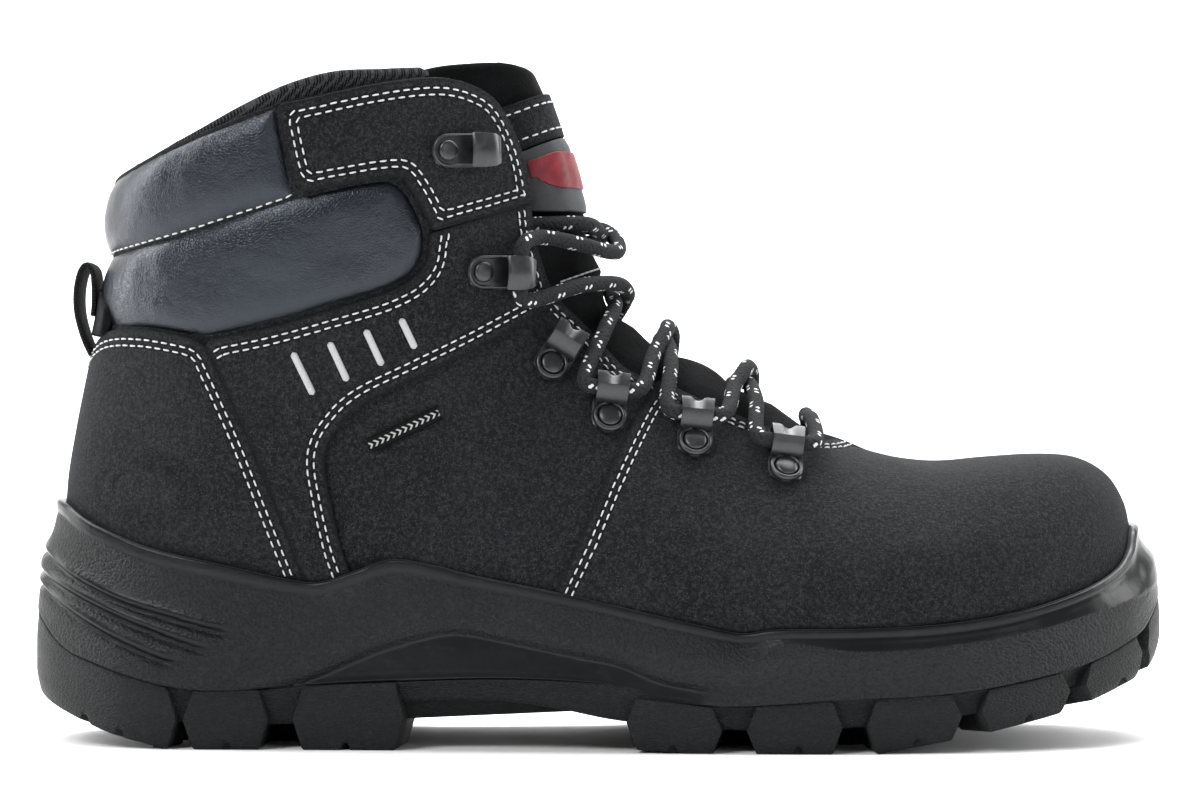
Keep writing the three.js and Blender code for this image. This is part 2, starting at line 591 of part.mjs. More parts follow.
// ---------------------------------------------------------------- inside the boot
const FOOTBED_TOP = [
  [-137, 47], [-118, 43], [-87, 41.5], [-56, 40.5], [-25, 38.6], [3, 36.4], [28, 34.8],
  [51, 34.4], [70, 35], [90, 37], [107, 39.6], [121, 42], [137, 45.5],
];
const BOARD_INSET = 19; // from the sole's widest outline
const BOARD_TOP = 44;
const SHANK_REGION = [-100, 6, -10, 8, 0, 34]; // under the arch, from the heel to the ball
const TOE_CAP_REGION = [96, 170, -REACH, REACH, 0, 120];
const HEEL_REGION = [[-170, 20], [-88, 20], [-92, 60], [-100, 84], [-112, 100], [-125, 106], [-170, 106]];
const board = stiffener.intersect(planPrism(closedOutline(BOARD_INSET), 0, BOARD_TOP));
addSolid("insole_board", "board", board);
addSolid("shank", "steel", layerShell(LAYER.shank).intersect(box(...SHANK_REGION)));

const aboveBoard = stiffener.subtract(planPrism(closedOutline(BOARD_INSET - GAP), 0, BOARD_TOP));
addSolid("toe_cap", "steel", aboveBoard.intersect(box(...TOE_CAP_REGION)));
addSolid("heel_stiffener", "board", aboveBoard.intersect(sidePrism(HEEL_REGION)));

const liningShell = layerShell(LAYER.lining).intersect(belowCollar(LINING_LINE)).subtract(throatRegion(16));
addSolid("lining", "mesh_fabric", liningShell);

const footbedSolid = filledUpper(LAYER.lining[0] - 0.6)
  .intersect(sidePrism([...smooth(FOOTBED_TOP), [137, 20], [-137, 20]]))
  .intersect(box(-136, 136, -REACH, REACH, 0, 60));
addSolid("footbed", "mesh_fabric", footbedSolid);

// ---------------------------------------------------------------- upper leather
const lastingHole = planPrism(closedOutline(26), 0, 36);
const padHoles = unionOf([insetPrism(PAD_UPPER_OUTLINE, -GAP), insetPrism(PAD_LOWER_OUTLINE, -GAP)]);
const leatherHoles = unionOf([lastingHole, throat, padHoles]);
const upperLeather = leather.subtract(leatherHoles).intersect(collarBelow);

addSolid("vamp", "nubuck", upperLeather.intersect(aheadOfVampSeam(GAP)));
for (const [word, side] of Object.entries(SIDES)) {
  const quarter = upperLeather.subtract(aheadOfVampSeam(0)).intersect(halfSpace(side));
  addSolid(`quarter_${word}`, "nubuck", quarter);
}

const aboveCup = sidePrism([[-175, 34], [175, 34], [175, TOP], [-175, TOP]]);
const outerLeather = overlay.intersect(collarBelow).intersect(aboveCup);
addSolid("heel_counter", "nubuck", outerLeather.intersect(insetPrism(COUNTER_OUTLINE, GAP)));

function barPrism([[x0, z0], [x1, z1]], grow) {
  const length = Math.hypot(x1 - x0, z1 - z0);
  const [ux, uz] = [(x1 - x0) / length, (z1 - z0) / length];
  const half = BAR_WIDTH / 2 + grow;
  const corner = (x, z, along, across) => [x + ux * along - uz * across, z + uz * along + ux * across];
  return sidePrism([
    corner(x0, z0, -half * 0.5, half), corner(x0, z0, -half, 0), corner(x0, z0, -half * 0.5, -half),
    corner(x1, z1, half * 0.5, -half), corner(x1, z1, half, 0), corner(x1, z1, half * 0.5, half),
  ]);
}

const barHoles = unionOf(BARS.map((bar) => barPrism(bar, GAP)));
const barLayer = layerShell([GAP, GAP + OVERLAY + 0.4]);
const anklePrism = insetPrism(ANKLE_OUTLINE, GAP);
const ankleLeather = outerLeather.intersect(anklePrism).subtract(barHoles).subtract(throat);
for (const [word, side] of Object.entries(SIDES)) {
  const half = halfSpace(side, 5);
  addSolid(`ankle_overlay_${word}`, "nubuck", ankleLeather.intersect(half));
  addSolid(`lace_flap_${word}`, "nubuck",
    outerLeather.intersect(insetPrism(FLAP_OUTLINE, GAP)).intersect(half));
  BARS.forEach((bar, i) => {
    const solid = barLayer.intersect(barPrism(bar, 0)).intersect(half);
    addSolid(`reflective_bar_${word}_${i + 1}`, "reflective", solid);
  });
}

const padLayer = layerShell(LAYER.pad);
const padPieces = { collar_pad_upper: PAD_UPPER_OUTLINE, collar_pad_lower: PAD_LOWER_OUTLINE };
for (const [name, outline] of Object.entries(padPieces)) {
  addSolid(name, "collar_leather", padLayer.intersect(insetPrism(outline, GAP)));
}
const BACKSTAY = 1.4; // thickness of the leather over the pads at the back
const BACKSTAY_HALF = 16;
const backstayLayer = layerShell([PAD + GAP, PAD + GAP + BACKSTAY])
  .intersect(box(-160, -120, -BACKSTAY_HALF, BACKSTAY_HALF, 100, 140));
addSolid("backstay", "nubuck", backstayLayer.intersect(sidePrism(outlineOf(BACKSTAY_OUTLINE))));

// A woven tab let into the edge of the lateral ankle overlay.
const SIDE_TAB = [[-63.6, 84.2], [-44.8, 93.2], [-43.0, 89.6], [-61.8, 80.6]];
addSolid("side_tab", "webbing", layerShell([GAP, GAP + 0.9])
  .intersect(sidePrism(SIDE_TAB, -REACH, 0))
  .subtract(sidePrism(inwards(outlineOf(ANKLE_OUTLINE), -GAP))));

// ---------------------------------------------------------------- tongue
const HINGE = { x: -4.6, z: 147.4 }; // the tongue's flap folds forward about this line
const CROWN = -1.4; // outer face of the tongue in the opening
const WING_REACH = 6.5; // how far the tongue goes on under the leather
const GATE = 139.6; // above this height the lace ends go in behind the leather's edge
const TONGUE_FRONT = [[-60, -20], [80, 60], [80, HINGE.z - GAP], [-60, HINGE.z - GAP]];

const tongueWings = layerShell([CROWN - TONGUE, -LEATHER - 0.4]).intersect(throatRegion(WING_REACH));
const tongueCrown = layerShell([CROWN - TONGUE, CROWN]).intersect(throatRegion(-1.2));
const laceGate = box(-60, 40, -REACH, REACH, GATE, TOP).subtract(throatRegion(-11));
const tongueSolid = tongueWings.add(tongueCrown).intersect(sidePrism(TONGUE_FRONT));
addSolid("tongue", "suede", tongueSolid.subtract(laceGate));

// The flap is narrower than the opening, so that it can fold out between the leather edges.
const FLAP_HALF = 19.3;
const FLAP_FACE = -0.4;
const FLAP_TOP_LINE = [[-60, 185], [-47, 188.4], [-36, 189.6], [-25, 189.8], [-16.5, 188.4], [-8, 184]];
const FLAP_BACK = [[-54, TOP], [-47, 186], [-34, HINGE.z], [40, HINGE.z], [40, TOP]];

const flapShape = sidePrism(FLAP_BACK).intersect(belowCollar(FLAP_TOP_LINE));
const flapSlot = (half) => box(-60, 40, -half, half, HINGE.z, TOP);
const flapSides = flapSlot(FLAP_HALF).subtract(flapSlot(FLAP_HALF - TONGUE));
const flapLegs = flapSides.intersect(filledUpper(FLAP_FACE));
const flapFront = layerShell([FLAP_FACE - TONGUE, FLAP_FACE]).intersect(flapSlot(FLAP_HALF));
addSolid("tongue_flap", "suede", flapFront.add(flapLegs).intersect(flapShape));

const PATCH_BAND = [[-40, 157], [-4, 171.5], [-8, 183.5], [-40, 172]];
const BADGE_BAND = [[-30, 149.4], [5, 149.4], [5, 171], [-7, 169.8], [-30, 160.6]];
const onFlap = (from, to, half, band) =>
  layerShell([FLAP_FACE + from, FLAP_FACE + to]).intersect(flapSlot(half)).intersect(sidePrism(band));
addSolid("tongue_patch", "nubuck", onFlap(GAP, GAP + 1.1, FLAP_HALF - 1, inwards(PATCH_BAND, GAP)));
addSolid("tongue_badge", "badge", onFlap(GAP, GAP + 1.8, FLAP_HALF - 3, inwards(BADGE_BAND, GAP)));

// ---------------------------------------------------------------- pull loop at the heel
function pullLoop() {
  const outer = [
    [-142.6, 106.8], [-145.6, 112.5], [-147.3, 120], [-147.2, 127], [-145.6, 132.4], [-143.6, 134.4],
    [-142.0, 133.2], [-141.5, 128.4],
  ];
  const inner = [
    [-143.1, 127.2], [-143.4, 131.6], [-144.4, 131.4], [-145.5, 126.8], [-145.7, 120.5], [-144.3, 114.4],
    [-143.0, 111.6], [-142.4, 109.6],
  ];
  return sidePrism([...smooth(outer), ...smooth(inner)], -10, 10);
}

addSolid("pull_loop", "webbing", pullLoop());

// ---------------------------------------------------------------- lace hardware
// A frame on the upper: its x axis points to the throat, its z axis out of the leather.
function hardwareFrame({ at, towards }, side, offset) {
  const { point, normal } = onUpper(at, side, offset);
  const forward = new THREE.Vector3(towards[0], 0, towards[1]);
  forward.addScaledVector(normal, -forward.dot(normal)).normalize();
  const across = new THREE.Vector3().crossVectors(normal, forward);
  const basis = new THREE.Matrix4().makeBasis(forward, across, normal);
  return { position: point, quaternion: new THREE.Quaternion().setFromRotationMatrix(basis), forward };
}

const shapeOf = (points) => new THREE.Shape(points.map(([x, y]) => new THREE.Vector2(x, y)));
const arc = (cx, cz, r, from, to, steps = 4) =>
  Array.from({ length: steps + 1 }, (_, i) => {
    const a = from + ((to - from) * i) / steps;
    return [cx + r * Math.cos(a), cz + r * Math.sin(a)];
  });

// A profile in the hardware's x-z plane, width wide, with rounded corners in plan and a rivet hole.
function stamped(profile, hole, width, plan, rivetX) {
  const shape = shapeOf(profile);
  if (hole) shape.holes.push(shapeOf(hole));
  const strip = new THREE.ExtrudeGeometry(shape, { depth: width, bevelEnabled: false });
  const solid = solidFrom(strip.rotateX(Math.PI / 2).translate(0, width / 2, 0));
  const post = new THREE.CylinderGeometry(1.75, 1.75, 6, 8).rotateX(Math.PI / 2).translate(rivetX, 0, 0);
  return solid.intersect(planPrism(plan, -1, 20)).subtract(solidFrom(post));
}

const HOOD = HARDWARE_SHEET + SLOT; // underside of a hook's or loop's raised part
const ROOF = HOOD + 1.1;

function hook() {
  const bend = 6.2;
  const outer = ROOF / 2;
  const inner = SLOT / 2;
  const profile = [
    [-9.4, 0], ...arc(bend, outer, outer, -Math.PI / 2, Math.PI / 2, 6), [0.4, ROOF - 0.3], [0.4, HOOD],
    ...arc(bend, HARDWARE_SHEET + inner, inner, Math.PI / 2, -Math.PI / 2, 6), [-9.4, HARDWARE_SHEET],
  ];
  const plan = [
    ...arc(-4.7, 0, 4.7, Math.PI / 2, (3 * Math.PI) / 2, 6), [9, -4.7], [9.8, -3.8], [9.8, 3.8], [9, 4.7],
  ];
  return stamped(profile, null, 9.4, plan, -5);
}

function loop() {
  const profile = [
    [-5, 0], [11.7, 0], [11.7, HOOD - 0.6], [10.6, ROOF], [6.2, ROOF], [3.4, 4.4], [3.1, HARDWARE_SHEET],
    [-5, HARDWARE_SHEET],
  ];
  const floor = HARDWARE_SHEET + 0.1;
  const tunnel = [[4.7, floor], [10.5, floor], [10.5, HOOD], [6.6, HOOD], [4.7, 4.1]];
  const plan = [
    ...arc(0, 0, 4.9, Math.PI / 2, (3 * Math.PI) / 2, 6),
    [7, -4.2], [11.7, -4.6], [11.7, -1.5], [9.6, 0], [11.7, 1.5], [11.7, 4.6], [7, 4.2],
  ];
  return stamped(profile, tunnel, 9.8, plan, 0);
}

const rivetProfile = [[0, 0.1], [1.4, 0.1], [1.4, 1.3], [2.6, 1.3], [2.5, 1.9], [1.6, 2.5], [0, 2.7]];
const rivetCurve = rivetProfile.map(([r, z]) => new THREE.Vector2(r, z));
const rivetGeometry = new THREE.LatheGeometry(rivetCurve, 8).rotateX(Math.PI / 2);
const hookGeometry = geometryFrom(hook());
const loopGeometry = geometryFrom(loop());
const ON_LEATHER = 0.9; // the flat plates stand a little off the rounded leather
const ON_OVERLAY = LAYER.overlay[1] + 0.9;

for (const [word, side] of Object.entries(SIDES)) {
  LOOPS.forEach((place, i) => {
    const frame = hardwareFrame(place, side, ON_LEATHER);
    addPart(`lace_loop_${word}_${i + 1}`, "gunmetal", loopGeometry, frame);
    addPart(`loop_rivet_${word}_${i + 1}`, "gunmetal", rivetGeometry, frame);
  });
  HOOKS.forEach((place, i) => {
    const frame = hardwareFrame(place, side, ON_OVERLAY);
    addPart(`speed_hook_${word}_${i + 1}`, "gunmetal", hookGeometry, frame);
    const seat = { ...frame, position: frame.position.clone().addScaledVector(frame.forward, -5) };
    addPart(`hook_rivet_${word}_${i + 1}`, "gunmetal", rivetGeometry, seat);
  });
}

// ---------------------------------------------------------------- lace
const LACE_SIDES = 8;
const LACE_STEPS = 96;

// The lace's route from its lateral end to its medial end. Each line crosses to the next loop.
const LACE_ROUTE = [
  // up from the end, tucked in behind the leather, and over the tongue to the hook
  [-15, -20.1, 107.6], [-22.4, -20.9, 115.2], [-28.4, -22.4, 125.8], [-31.5, -24.1, 137],
  [-28.6, -22.6, 142.7], [-20.6, -17.1, 143.6], [-4, -10, 144.2], [-0.8, 0, 142.9], [0.2, 8, 141],
  [-5, 15.5, 139.4], [-14.5, 24.5, 138.4],
  // medial hook, then down to the third lateral loop
  [-21.1, 31.7, 137.1], [-21.2, 31.4, 129.9], [-21.3, 31.1, 122.7], [-4.5, 18.9, 126.9], [2.4, 6.2, 126.2],
  [3.6, -0.2, 123.7], [4.3, -6.8, 121.5], [1.3, -18.5, 114],
  // third lateral loop, then down to the second medial loop
  [-3.7, -31.6, 99.5], [3.5, -30.9, 98.7], [10.6, -30.2, 97.8], [15.3, -15.9, 108.3], [18.8, -7.5, 114.7],
  [19.2, -1.8, 115.6], [20.6, 4.3, 113.4], [19.9, 13.5, 104.6],
  // second medial loop, then down to the first lateral loop
  [19.5, 27, 92.3], [26.6, 26.6, 91.6], [33.8, 26.3, 90.9], [37.4, 10.9, 99.1], [39.4, 2.2, 101],
  [39.7, -1.9, 100.3], [41.6, -6.6, 99.7], [43.4, -17, 95],
  // first lateral loop, the bar across the toe end and the first medial loop
  [44.2, -31.9, 84.8], [51.3, -30.9, 84], [58.4, -30, 83.1], [59.1, -11.1, 89.7], [58.3, -3.8, 90.3],
  [58.2, -0.6, 90.9], [58.3, 2.6, 90.3], [59, 10, 89.8], [58.8, 29, 83], [51.6, 29.1, 83.9],
  [44.5, 29.1, 84.8], [43.2, 13.8, 95.1], [43, 3.9, 102.6], [41.8, -1.9, 104.3], [41, -6.8, 103.9],
  [37.6, -14.9, 99],
  // second lateral loop, then up to the third medial loop
  [33.7, -30.4, 90.9], [26.6, -31.1, 91.6], [19.5, -31.7, 92.3], [19.8, -17.6, 104.7], [19, -7, 110.7],
  [17, -1.8, 111.7], [17.3, 2.8, 111.8], [15.4, 12.2, 108.2],
  // third medial loop, then up to the lateral hook
  [10.5, 26.4, 97.8], [3.5, 27.6, 98.7], [-3.5, 28.8, 99.5], [1.6, 16.9, 113.7], [7.1, 7.3, 122.9],
  [7.8, -0.2, 125.3], [5.3, -7.6, 127.4], [-4.4, -18.8, 126.9],
  // lateral hook, then round in front of the tongue and down behind the leather
  [-21.3, -31.1, 122.7], [-21.2, -31.4, 129.9], [-21.1, -31.7, 137.1], [-17, -25.5, 139.8], [-7, -18, 138.6],
  [1, -9, 136.8], [5, -1, 136.8], [5, 5, 139.6], [1.6, 10, 143], [-5.2, 12.8, 144.4],
  [-20.6, 17.1, 143.6], [-28.6, 22.6, 142.7], [-31.5, 24.1, 137], [-28.4, 22.4, 125.8], [-22.3, 20.9, 115.1],
  [-15.4, 19.7, 108],
];

// A route whose steps follow its own points, so that it is finer where they are closer.
class Route extends THREE.CatmullRomCurve3 {
  getUtoTmapping(u) {
    return u;
  }
}

const lacePoints = LACE_ROUTE.map((place) => new THREE.Vector3(...place));
const laceRoute = new Route(lacePoints, false, "centripetal");
const laceSection = shapeOf(arc(0, 0, LACE_RADIUS, 0, 2 * Math.PI, LACE_SIDES).slice(0, -1));
const laceSettings = { steps: LACE_STEPS, extrudePath: laceRoute, bevelEnabled: false };
addPart("lace", "lace", new THREE.ExtrudeGeometry(laceSection, laceSettings));

const TIP_LENGTH = 16;
const tipGeometry = new THREE.CylinderGeometry(1.7, 1.7, TIP_LENGTH, 8).rotateX(Math.PI / 2);
for (const [word, side] of Object.entries(SIDES)) {
  const t = side === LATERAL ? 0 : 1;
  const out = laceRoute.getTangent(t).multiplyScalar(t ? 1 : -1);
  const quaternion = new THREE.Quaternion().setFromUnitVectors(new THREE.Vector3(0, 0, 1), out);
  const position = laceRoute.getPoint(t).addScaledVector(out, TIP_LENGTH / 2 + GAP);
  addPart(`lace_tip_${word}`, "plastic", tipGeometry, { position, quaternion });
}

export default boot;
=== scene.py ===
"""A lace-up safety work boot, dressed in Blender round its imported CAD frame.

The frame is in metres: +X points to the toe, +Y to the inner side, +Z up, with the origin on the
ground under the middle of the boot. The tables and shapes below are in millimetres, as a
shoemaker's are, and put() turns them into metres.
"""

import itertools
import math

import bmesh
import bpy
import numpy as np
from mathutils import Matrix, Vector
from mathutils.bvhtree import BVHTree
from mathutils.geometry import tessellate_polygon
from mathutils.kdtree import KDTree


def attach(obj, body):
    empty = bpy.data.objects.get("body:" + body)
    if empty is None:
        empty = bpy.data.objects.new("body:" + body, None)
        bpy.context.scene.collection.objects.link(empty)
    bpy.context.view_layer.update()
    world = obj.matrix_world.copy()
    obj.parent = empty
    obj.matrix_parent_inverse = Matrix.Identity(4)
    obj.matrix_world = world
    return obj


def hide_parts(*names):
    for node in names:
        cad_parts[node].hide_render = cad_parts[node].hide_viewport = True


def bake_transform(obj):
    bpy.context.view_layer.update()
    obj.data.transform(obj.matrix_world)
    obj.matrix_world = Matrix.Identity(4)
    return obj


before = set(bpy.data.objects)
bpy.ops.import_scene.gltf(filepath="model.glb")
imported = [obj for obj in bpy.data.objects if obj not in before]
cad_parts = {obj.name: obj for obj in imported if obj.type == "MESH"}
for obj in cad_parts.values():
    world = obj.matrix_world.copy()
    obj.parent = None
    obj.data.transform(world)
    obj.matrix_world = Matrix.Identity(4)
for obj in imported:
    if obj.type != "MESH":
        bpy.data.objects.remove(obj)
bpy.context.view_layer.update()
MM = 0.001
LATERAL, MEDIAL = -1, 1
SIDES = {"lateral": LATERAL, "medial": MEDIAL}

# ---------------------------------------------------------------- driving dimensions, mm
OVERLAY = 1.9  # outer face of the leather sewn over the upper
LEATHER = -1.8  # inner face of the upper leather
LINING = (-7.0, -4.3)  # inner and outer face
CROWN = -1.4  # outer face of the tongue in the opening
FLAP_FACE = -0.4  # outer face of the tongue's folding top
TONGUE = 4.0  # thickness
LACE_RADIUS = 2.15
TIP_RADIUS = 1.75
BRAID_CARRIERS, BRAID_PITCH = 6, 9.6
LACE_STEP = 0.36  # between the lace's rings
FLECK_CELLS = (4, 7, 9, 12)  # crossings of the braid where its pale carriers show
STITCH_ROWS = (2.5, 4.3)  # distances of the two seam rows from a sewn edge
STITCH_PITCH = 2.9
HARDWARE_SHEET = 1.0
SLOT = 4.9  # clear height under a hook or loop
HOOD = HARDWARE_SHEET + SLOT  # underside of a hook or loop's roof
ROOF = HOOD + 1.1
NO_SEAM = 99.0  # distance to the nearest seam where there is none
SKY = 215  # a height above everything

# The upper's sections from the tip of the toe to the collar: the front point on the instep line
# and the back point on the sole and heel line, [x, z]; then half the width, its sideways shift,
# the share of the way from front to back at which it is widest, and the two superellipse exponents.
SECTIONS = [
    (149.9, 49.9, 149.9, 49.9, 0, 6, 0.6, 2.2, 2.4),
    (149.2, 62.0, 149.3, 38.6, 10, 6, 0.6, 2.2, 2.4),
    (146.8, 69.0, 146.5, 34.4, 20, 5.8, 0.6, 2.2, 2.5),
    (142.3, 74.8, 141.7, 32.2, 28, 5.4, 0.6, 2.2, 2.6),
    (134.1, 79.0, 133.2, 30.4, 37, 4.6, 0.61, 2.3, 2.8),
    (122.8, 80.0, 121.4, 28.8, 44, 3.4, 0.62, 2.3, 3.0),
    (108.7, 79.2, 107.3, 26.9, 48.2, 1.9, 0.63, 2.2, 3.0),
    (91.8, 78.1, 89.0, 24.8, 50.6, 0.8, 0.65, 2.05, 3.0),
    (75.7, 80.8, 70.6, 23.1, 51.0, 0.2, 0.67, 1.9, 3.0),
    (60.8, 87.3, 50.9, 22.6, 50.0, -0.4, 0.69, 1.75, 3.0),
    (46.7, 95.3, 28.3, 23.1, 47.5, -1.4, 0.69, 1.65, 3.0),
    (32.0, 103.0, 3.0, 24.5, 44.3, -2.2, 0.68, 1.62, 2.9),
    (20.0, 108.8, -25.2, 26.5, 41.8, -2.0, 0.66, 1.65, 2.8),
    (9.5, 115.2, -56.3, 28.3, 40.2, -1.3, 0.63, 1.72, 2.7),
    (4.0, 120.5, -87.3, 29.4, 39.4, -0.5, 0.6, 1.8, 2.6),
    (1.2, 127.0, -118.3, 30.5, 38.8, 0, 0.57, 1.85, 2.5),
    (-1.3, 133.5, -138.5, 36.0, 38.4, 0, 0.54, 1.9, 2.4),
    (-2.8, 140.0, -147.6, 53.0, 38.4, 0, 0.52, 1.9, 2.2),
    (-4.3, 146.5, -148.0, 70.0, 39.0, 0, 0.5, 1.9, 2.1),
    (-6.0, 152.5, -145.4, 87.0, 39.8, 0, 0.5, 1.9, 2.1),
    (-8.0, 160.0, -142.0, 103.5, 41.0, 0, 0.5, 1.95, 2.1),
    (-10.5, 167.5, -138.8, 118.0, 42.2, 0, 0.5, 2.0, 2.15),
    (-13.0, 175.0, -137.2, 130.0, 43.4, 0, 0.5, 2.0, 2.2),
    (-16.0, 183.0, -136.8, 142.0, 44.6, 0, 0.5, 2.0, 2.2),
    (-19.0, 190.0, -136.5, 154.0, 45.6, 0, 0.5, 2.0, 2.2),
    (-22.0, 199.0, -136.0, 171.0, 46.4, 0, 0.5, 2.0, 2.2),
]

# Lines of the side view, [x, z]; an outline is a list of smooth stretches that meet at corners.
THROAT_LINE = [
    (-30, 186), (-26.6, 172.6), (-22.4, 162.7), (-19.8, 151), (-18, 138.7), (-15.2, 130), (-11, 122.7),
    (-4, 115.8), (1.6, 109.6), (7.5, 103.6), (17, 99.2), (32, 93.2), (45, 88), (56.5, 84.6), (64, 83.8),
    (72, 85.6),
]
VAMP_SEAM = [(22, 112), (15.7, 98.4), (11.4, 92.2), (3, 75.3), (-5.5, 55.6), (-12.3, 41.5), (-20, 18)]
COLLAR_LINE = [
    (-150, 148), (-140, 150.5), (-135.8, 155.7), (-129.6, 158.6), (-112.7, 165.6), (-87.3, 174.8),
    (-76, 177.2), (-61.9, 180.4), (-47.8, 182.5), (-39.3, 182), (-31.5, 178.6), (-26.6, 172.6),
]
LINING_LINE = [
    (-150, 150), (-140, 152), (-134, 157), (-122.5, 162.8), (-109.8, 168.6), (-97, 175), (-84.5, 180.4),
    (-71.8, 183.8), (-59, 184.7), (-42, 186), (-20, 187),
]
PAD_SEAM = [(-150, 133.5), (-138.6, 134.6), (-126.8, 136.8), (-112.7, 140.2), (-98.6, 144.4), (-82.5, 149.6)]
PAD_TOP = COLLAR_LINE[5::-1]
PAD_FOOT = [
    (-150, 118), (-138.6, 118), (-133.8, 115.6), (-122.5, 114.8), (-107, 112.8), (-90.1, 116.2),
    (-73.2, 121), (-56.3, 126.5), (-49.4, 132.6), (-48.2, 140.2), (-50.6, 147.2), (-55, 153.2),
    (-61.9, 154.1), (-82.5, 149.6),
]
PAD_UPPER_OUTLINE = [PAD_SEAM, [(-82.5, 149.6), (-84.6, 160), (-87.3, 174.8)], PAD_TOP]
PAD_LOWER_OUTLINE = [PAD_FOOT, PAD_SEAM[::-1]]
COUNTER_TOP = [
    (-160, 101), (-146, 101.5), (-142, 107), (-138.5, 111.8), (-133, 114.2), (-123.9, 114.2), (-111.8, 112),
    (-107, 109.6),
]
COUNTER_FRONT = [(-107, 109.6), (-101.4, 97.9), (-95.2, 83.8), (-87.3, 64), (-79.5, 44.5), (-74, 30)]
COUNTER_OUTLINE = [COUNTER_TOP, COUNTER_FRONT, [(-74, 30), (-160, 30)]]
ANKLE_TOP = [
    (-107, 109.6), (-106.6, 111.2), (-90.1, 114.8), (-73.2, 119.6), (-56.3, 125.1), (-48.2, 131.6),
    (-46.6, 140.6),
]
ANKLE_THROAT = [(-19.9, 149.5), (-18.3, 138.7), (-14.6, 126), (-13.2, 120.6)]
ANKLE_FRONT = [
    (-13.2, 120.6), (-33.7, 109.1), (-50.6, 100.7), (-64.7, 93.6), (-71.8, 86.6), (-74.9, 79.5),
    (-73.7, 69.7), (-70.4, 55.6), (-66.5, 44.5), (-62, 30),
]
ANKLE_OUTLINE = [
    ANKLE_TOP, [(-46.6, 140.6), (-19.9, 149.5)], ANKLE_THROAT, ANKLE_FRONT, [(-62, 30), (-74, 30)],
    COUNTER_FRONT[::-1],
]
FLAP_OUTLINE = [
    COLLAR_LINE[5:] + [(-22.4, 162.7), (-19.9, 151.4)],
    [(-19.9, 151.4), (-21.5, 149), (-46, 141.2)],
    [(-46, 141.2), (-48.4, 146.4), (-52.4, 153.2), (-57, 155.6), (-80.5, 151.4)],
    [(-80.5, 151.4), (-83.6, 157), (-87.3, 174.8)],
]
BACKSTAY_OUTLINE = [
    [(-148, 112.6), (-134, 113.2)],
    [(-134, 113.2), (-133.4, 116.2), (-136.4, 122.6), (-139.4, 127.4)],
    [(-139.4, 127.4), (-150, 127.4)],
]

# The sole: half widths and sideways shift along the boot, then its lines in the side view.
SOLE_PLAN = [
    (158.8, 0, 6), (156.6, 13.5, 6), (150, 28, 5.6), (140, 39, 4.9), (125, 48.3, 3.4), (105, 54.3, 1.8),
    (85, 56.4, 0.8), (65, 57.2, 0), (45, 56.0, -0.8), (25, 53.4, -1.6), (0, 49.8, -2.4), (-30, 46, -2),
    (-60, 43.6, -0.9), (-90, 42.8, 0), (-115, 41.2, 0), (-135, 36, 0), (-150, 24, 0), (-156.6, 12.5, 0),
    (-158.8, 0, 0),
]
FEATHER_LINE = [
    (-158.8, 67), (-152, 66), (-141, 60), (-124, 54), (-104, 49.6), (-84.5, 45.4), (-76, 44.8), (-66, 48),
    (-56.3, 51), (-45, 49.4), (-33.7, 46.6), (-11, 42), (11.4, 36.9), (28.3, 33), (38.2, 31.2), (48, 32.4),
    (70.6, 32.6), (93.2, 33.8), (113, 36.7), (130, 41.5), (143, 47.2), (149, 53), (152, 58.5), (158.8, 61),
]
WELT_LINE = [
    (-158.8, 38), (-149, 27.5), (-138.3, 22.8), (-120.3, 17.4), (-103.6, 15.8), (-77.1, 17.6),
    (-55.1, 18.6), (-28.1, 19.5), (0, 18.3), (11.4, 14.4), (28.3, 12.6), (45.3, 13), (64.2, 14.7),
    (84.7, 15.2), (101.9, 16.8), (120.8, 20.2), (135.8, 24), (148.8, 30), (153.3, 34), (158.8, 42),
]
TREAD_LINE = [
    (-158.8, 17), (-153.3, 12.1), (-141.7, 7), (-131.8, 3.4), (-121.7, 1.2), (-115, 0), (-52, 0), (10, 0.8),
    (22, 0), (70, 0), (78, 0.9), (95.2, 3.6), (105.3, 5.6), (125.3, 10.2), (134.1, 13.1), (148.5, 18.6),
    (153.3, 21.4), (158.8, 27.6),
]
GROOVE_LINE = [
    (-158.8, 22), (-140, 13), (-115.5, 7), (-82.8, 7), (-55.1, 12.4), (-40.5, 13.5), (-26.1, 13.3),
    (-11.7, 11.4), (6.1, 8.2), (32.6, 6.2), (65, 6.6), (97.4, 9.6), (127, 15.6), (151, 23.6), (158.8, 31),
]
SIDE_LUGS = [  # where each starts and ends at the ground, and its sipes
    ((-110.1, -92.1), [-101.4]), ((-80.2, -56), [-69]), ((10, 30.6), [19.6]), ((42.2, 63), [53.2]),
    ((74, 95.2), [85.3]), ((105.3, 125.3), [115.8]), ((134.1, 148.5), [143.4]),
]
HEEL_LUG = (-118, [-141, -131])  # where its two ends are, and its sipes
TOE_LUG = (153.4, [])
CENTRE_LUGS = [(-126, -106), (-96, -76), (24, 44), (56, 76), (88, 108), (119, 136)]

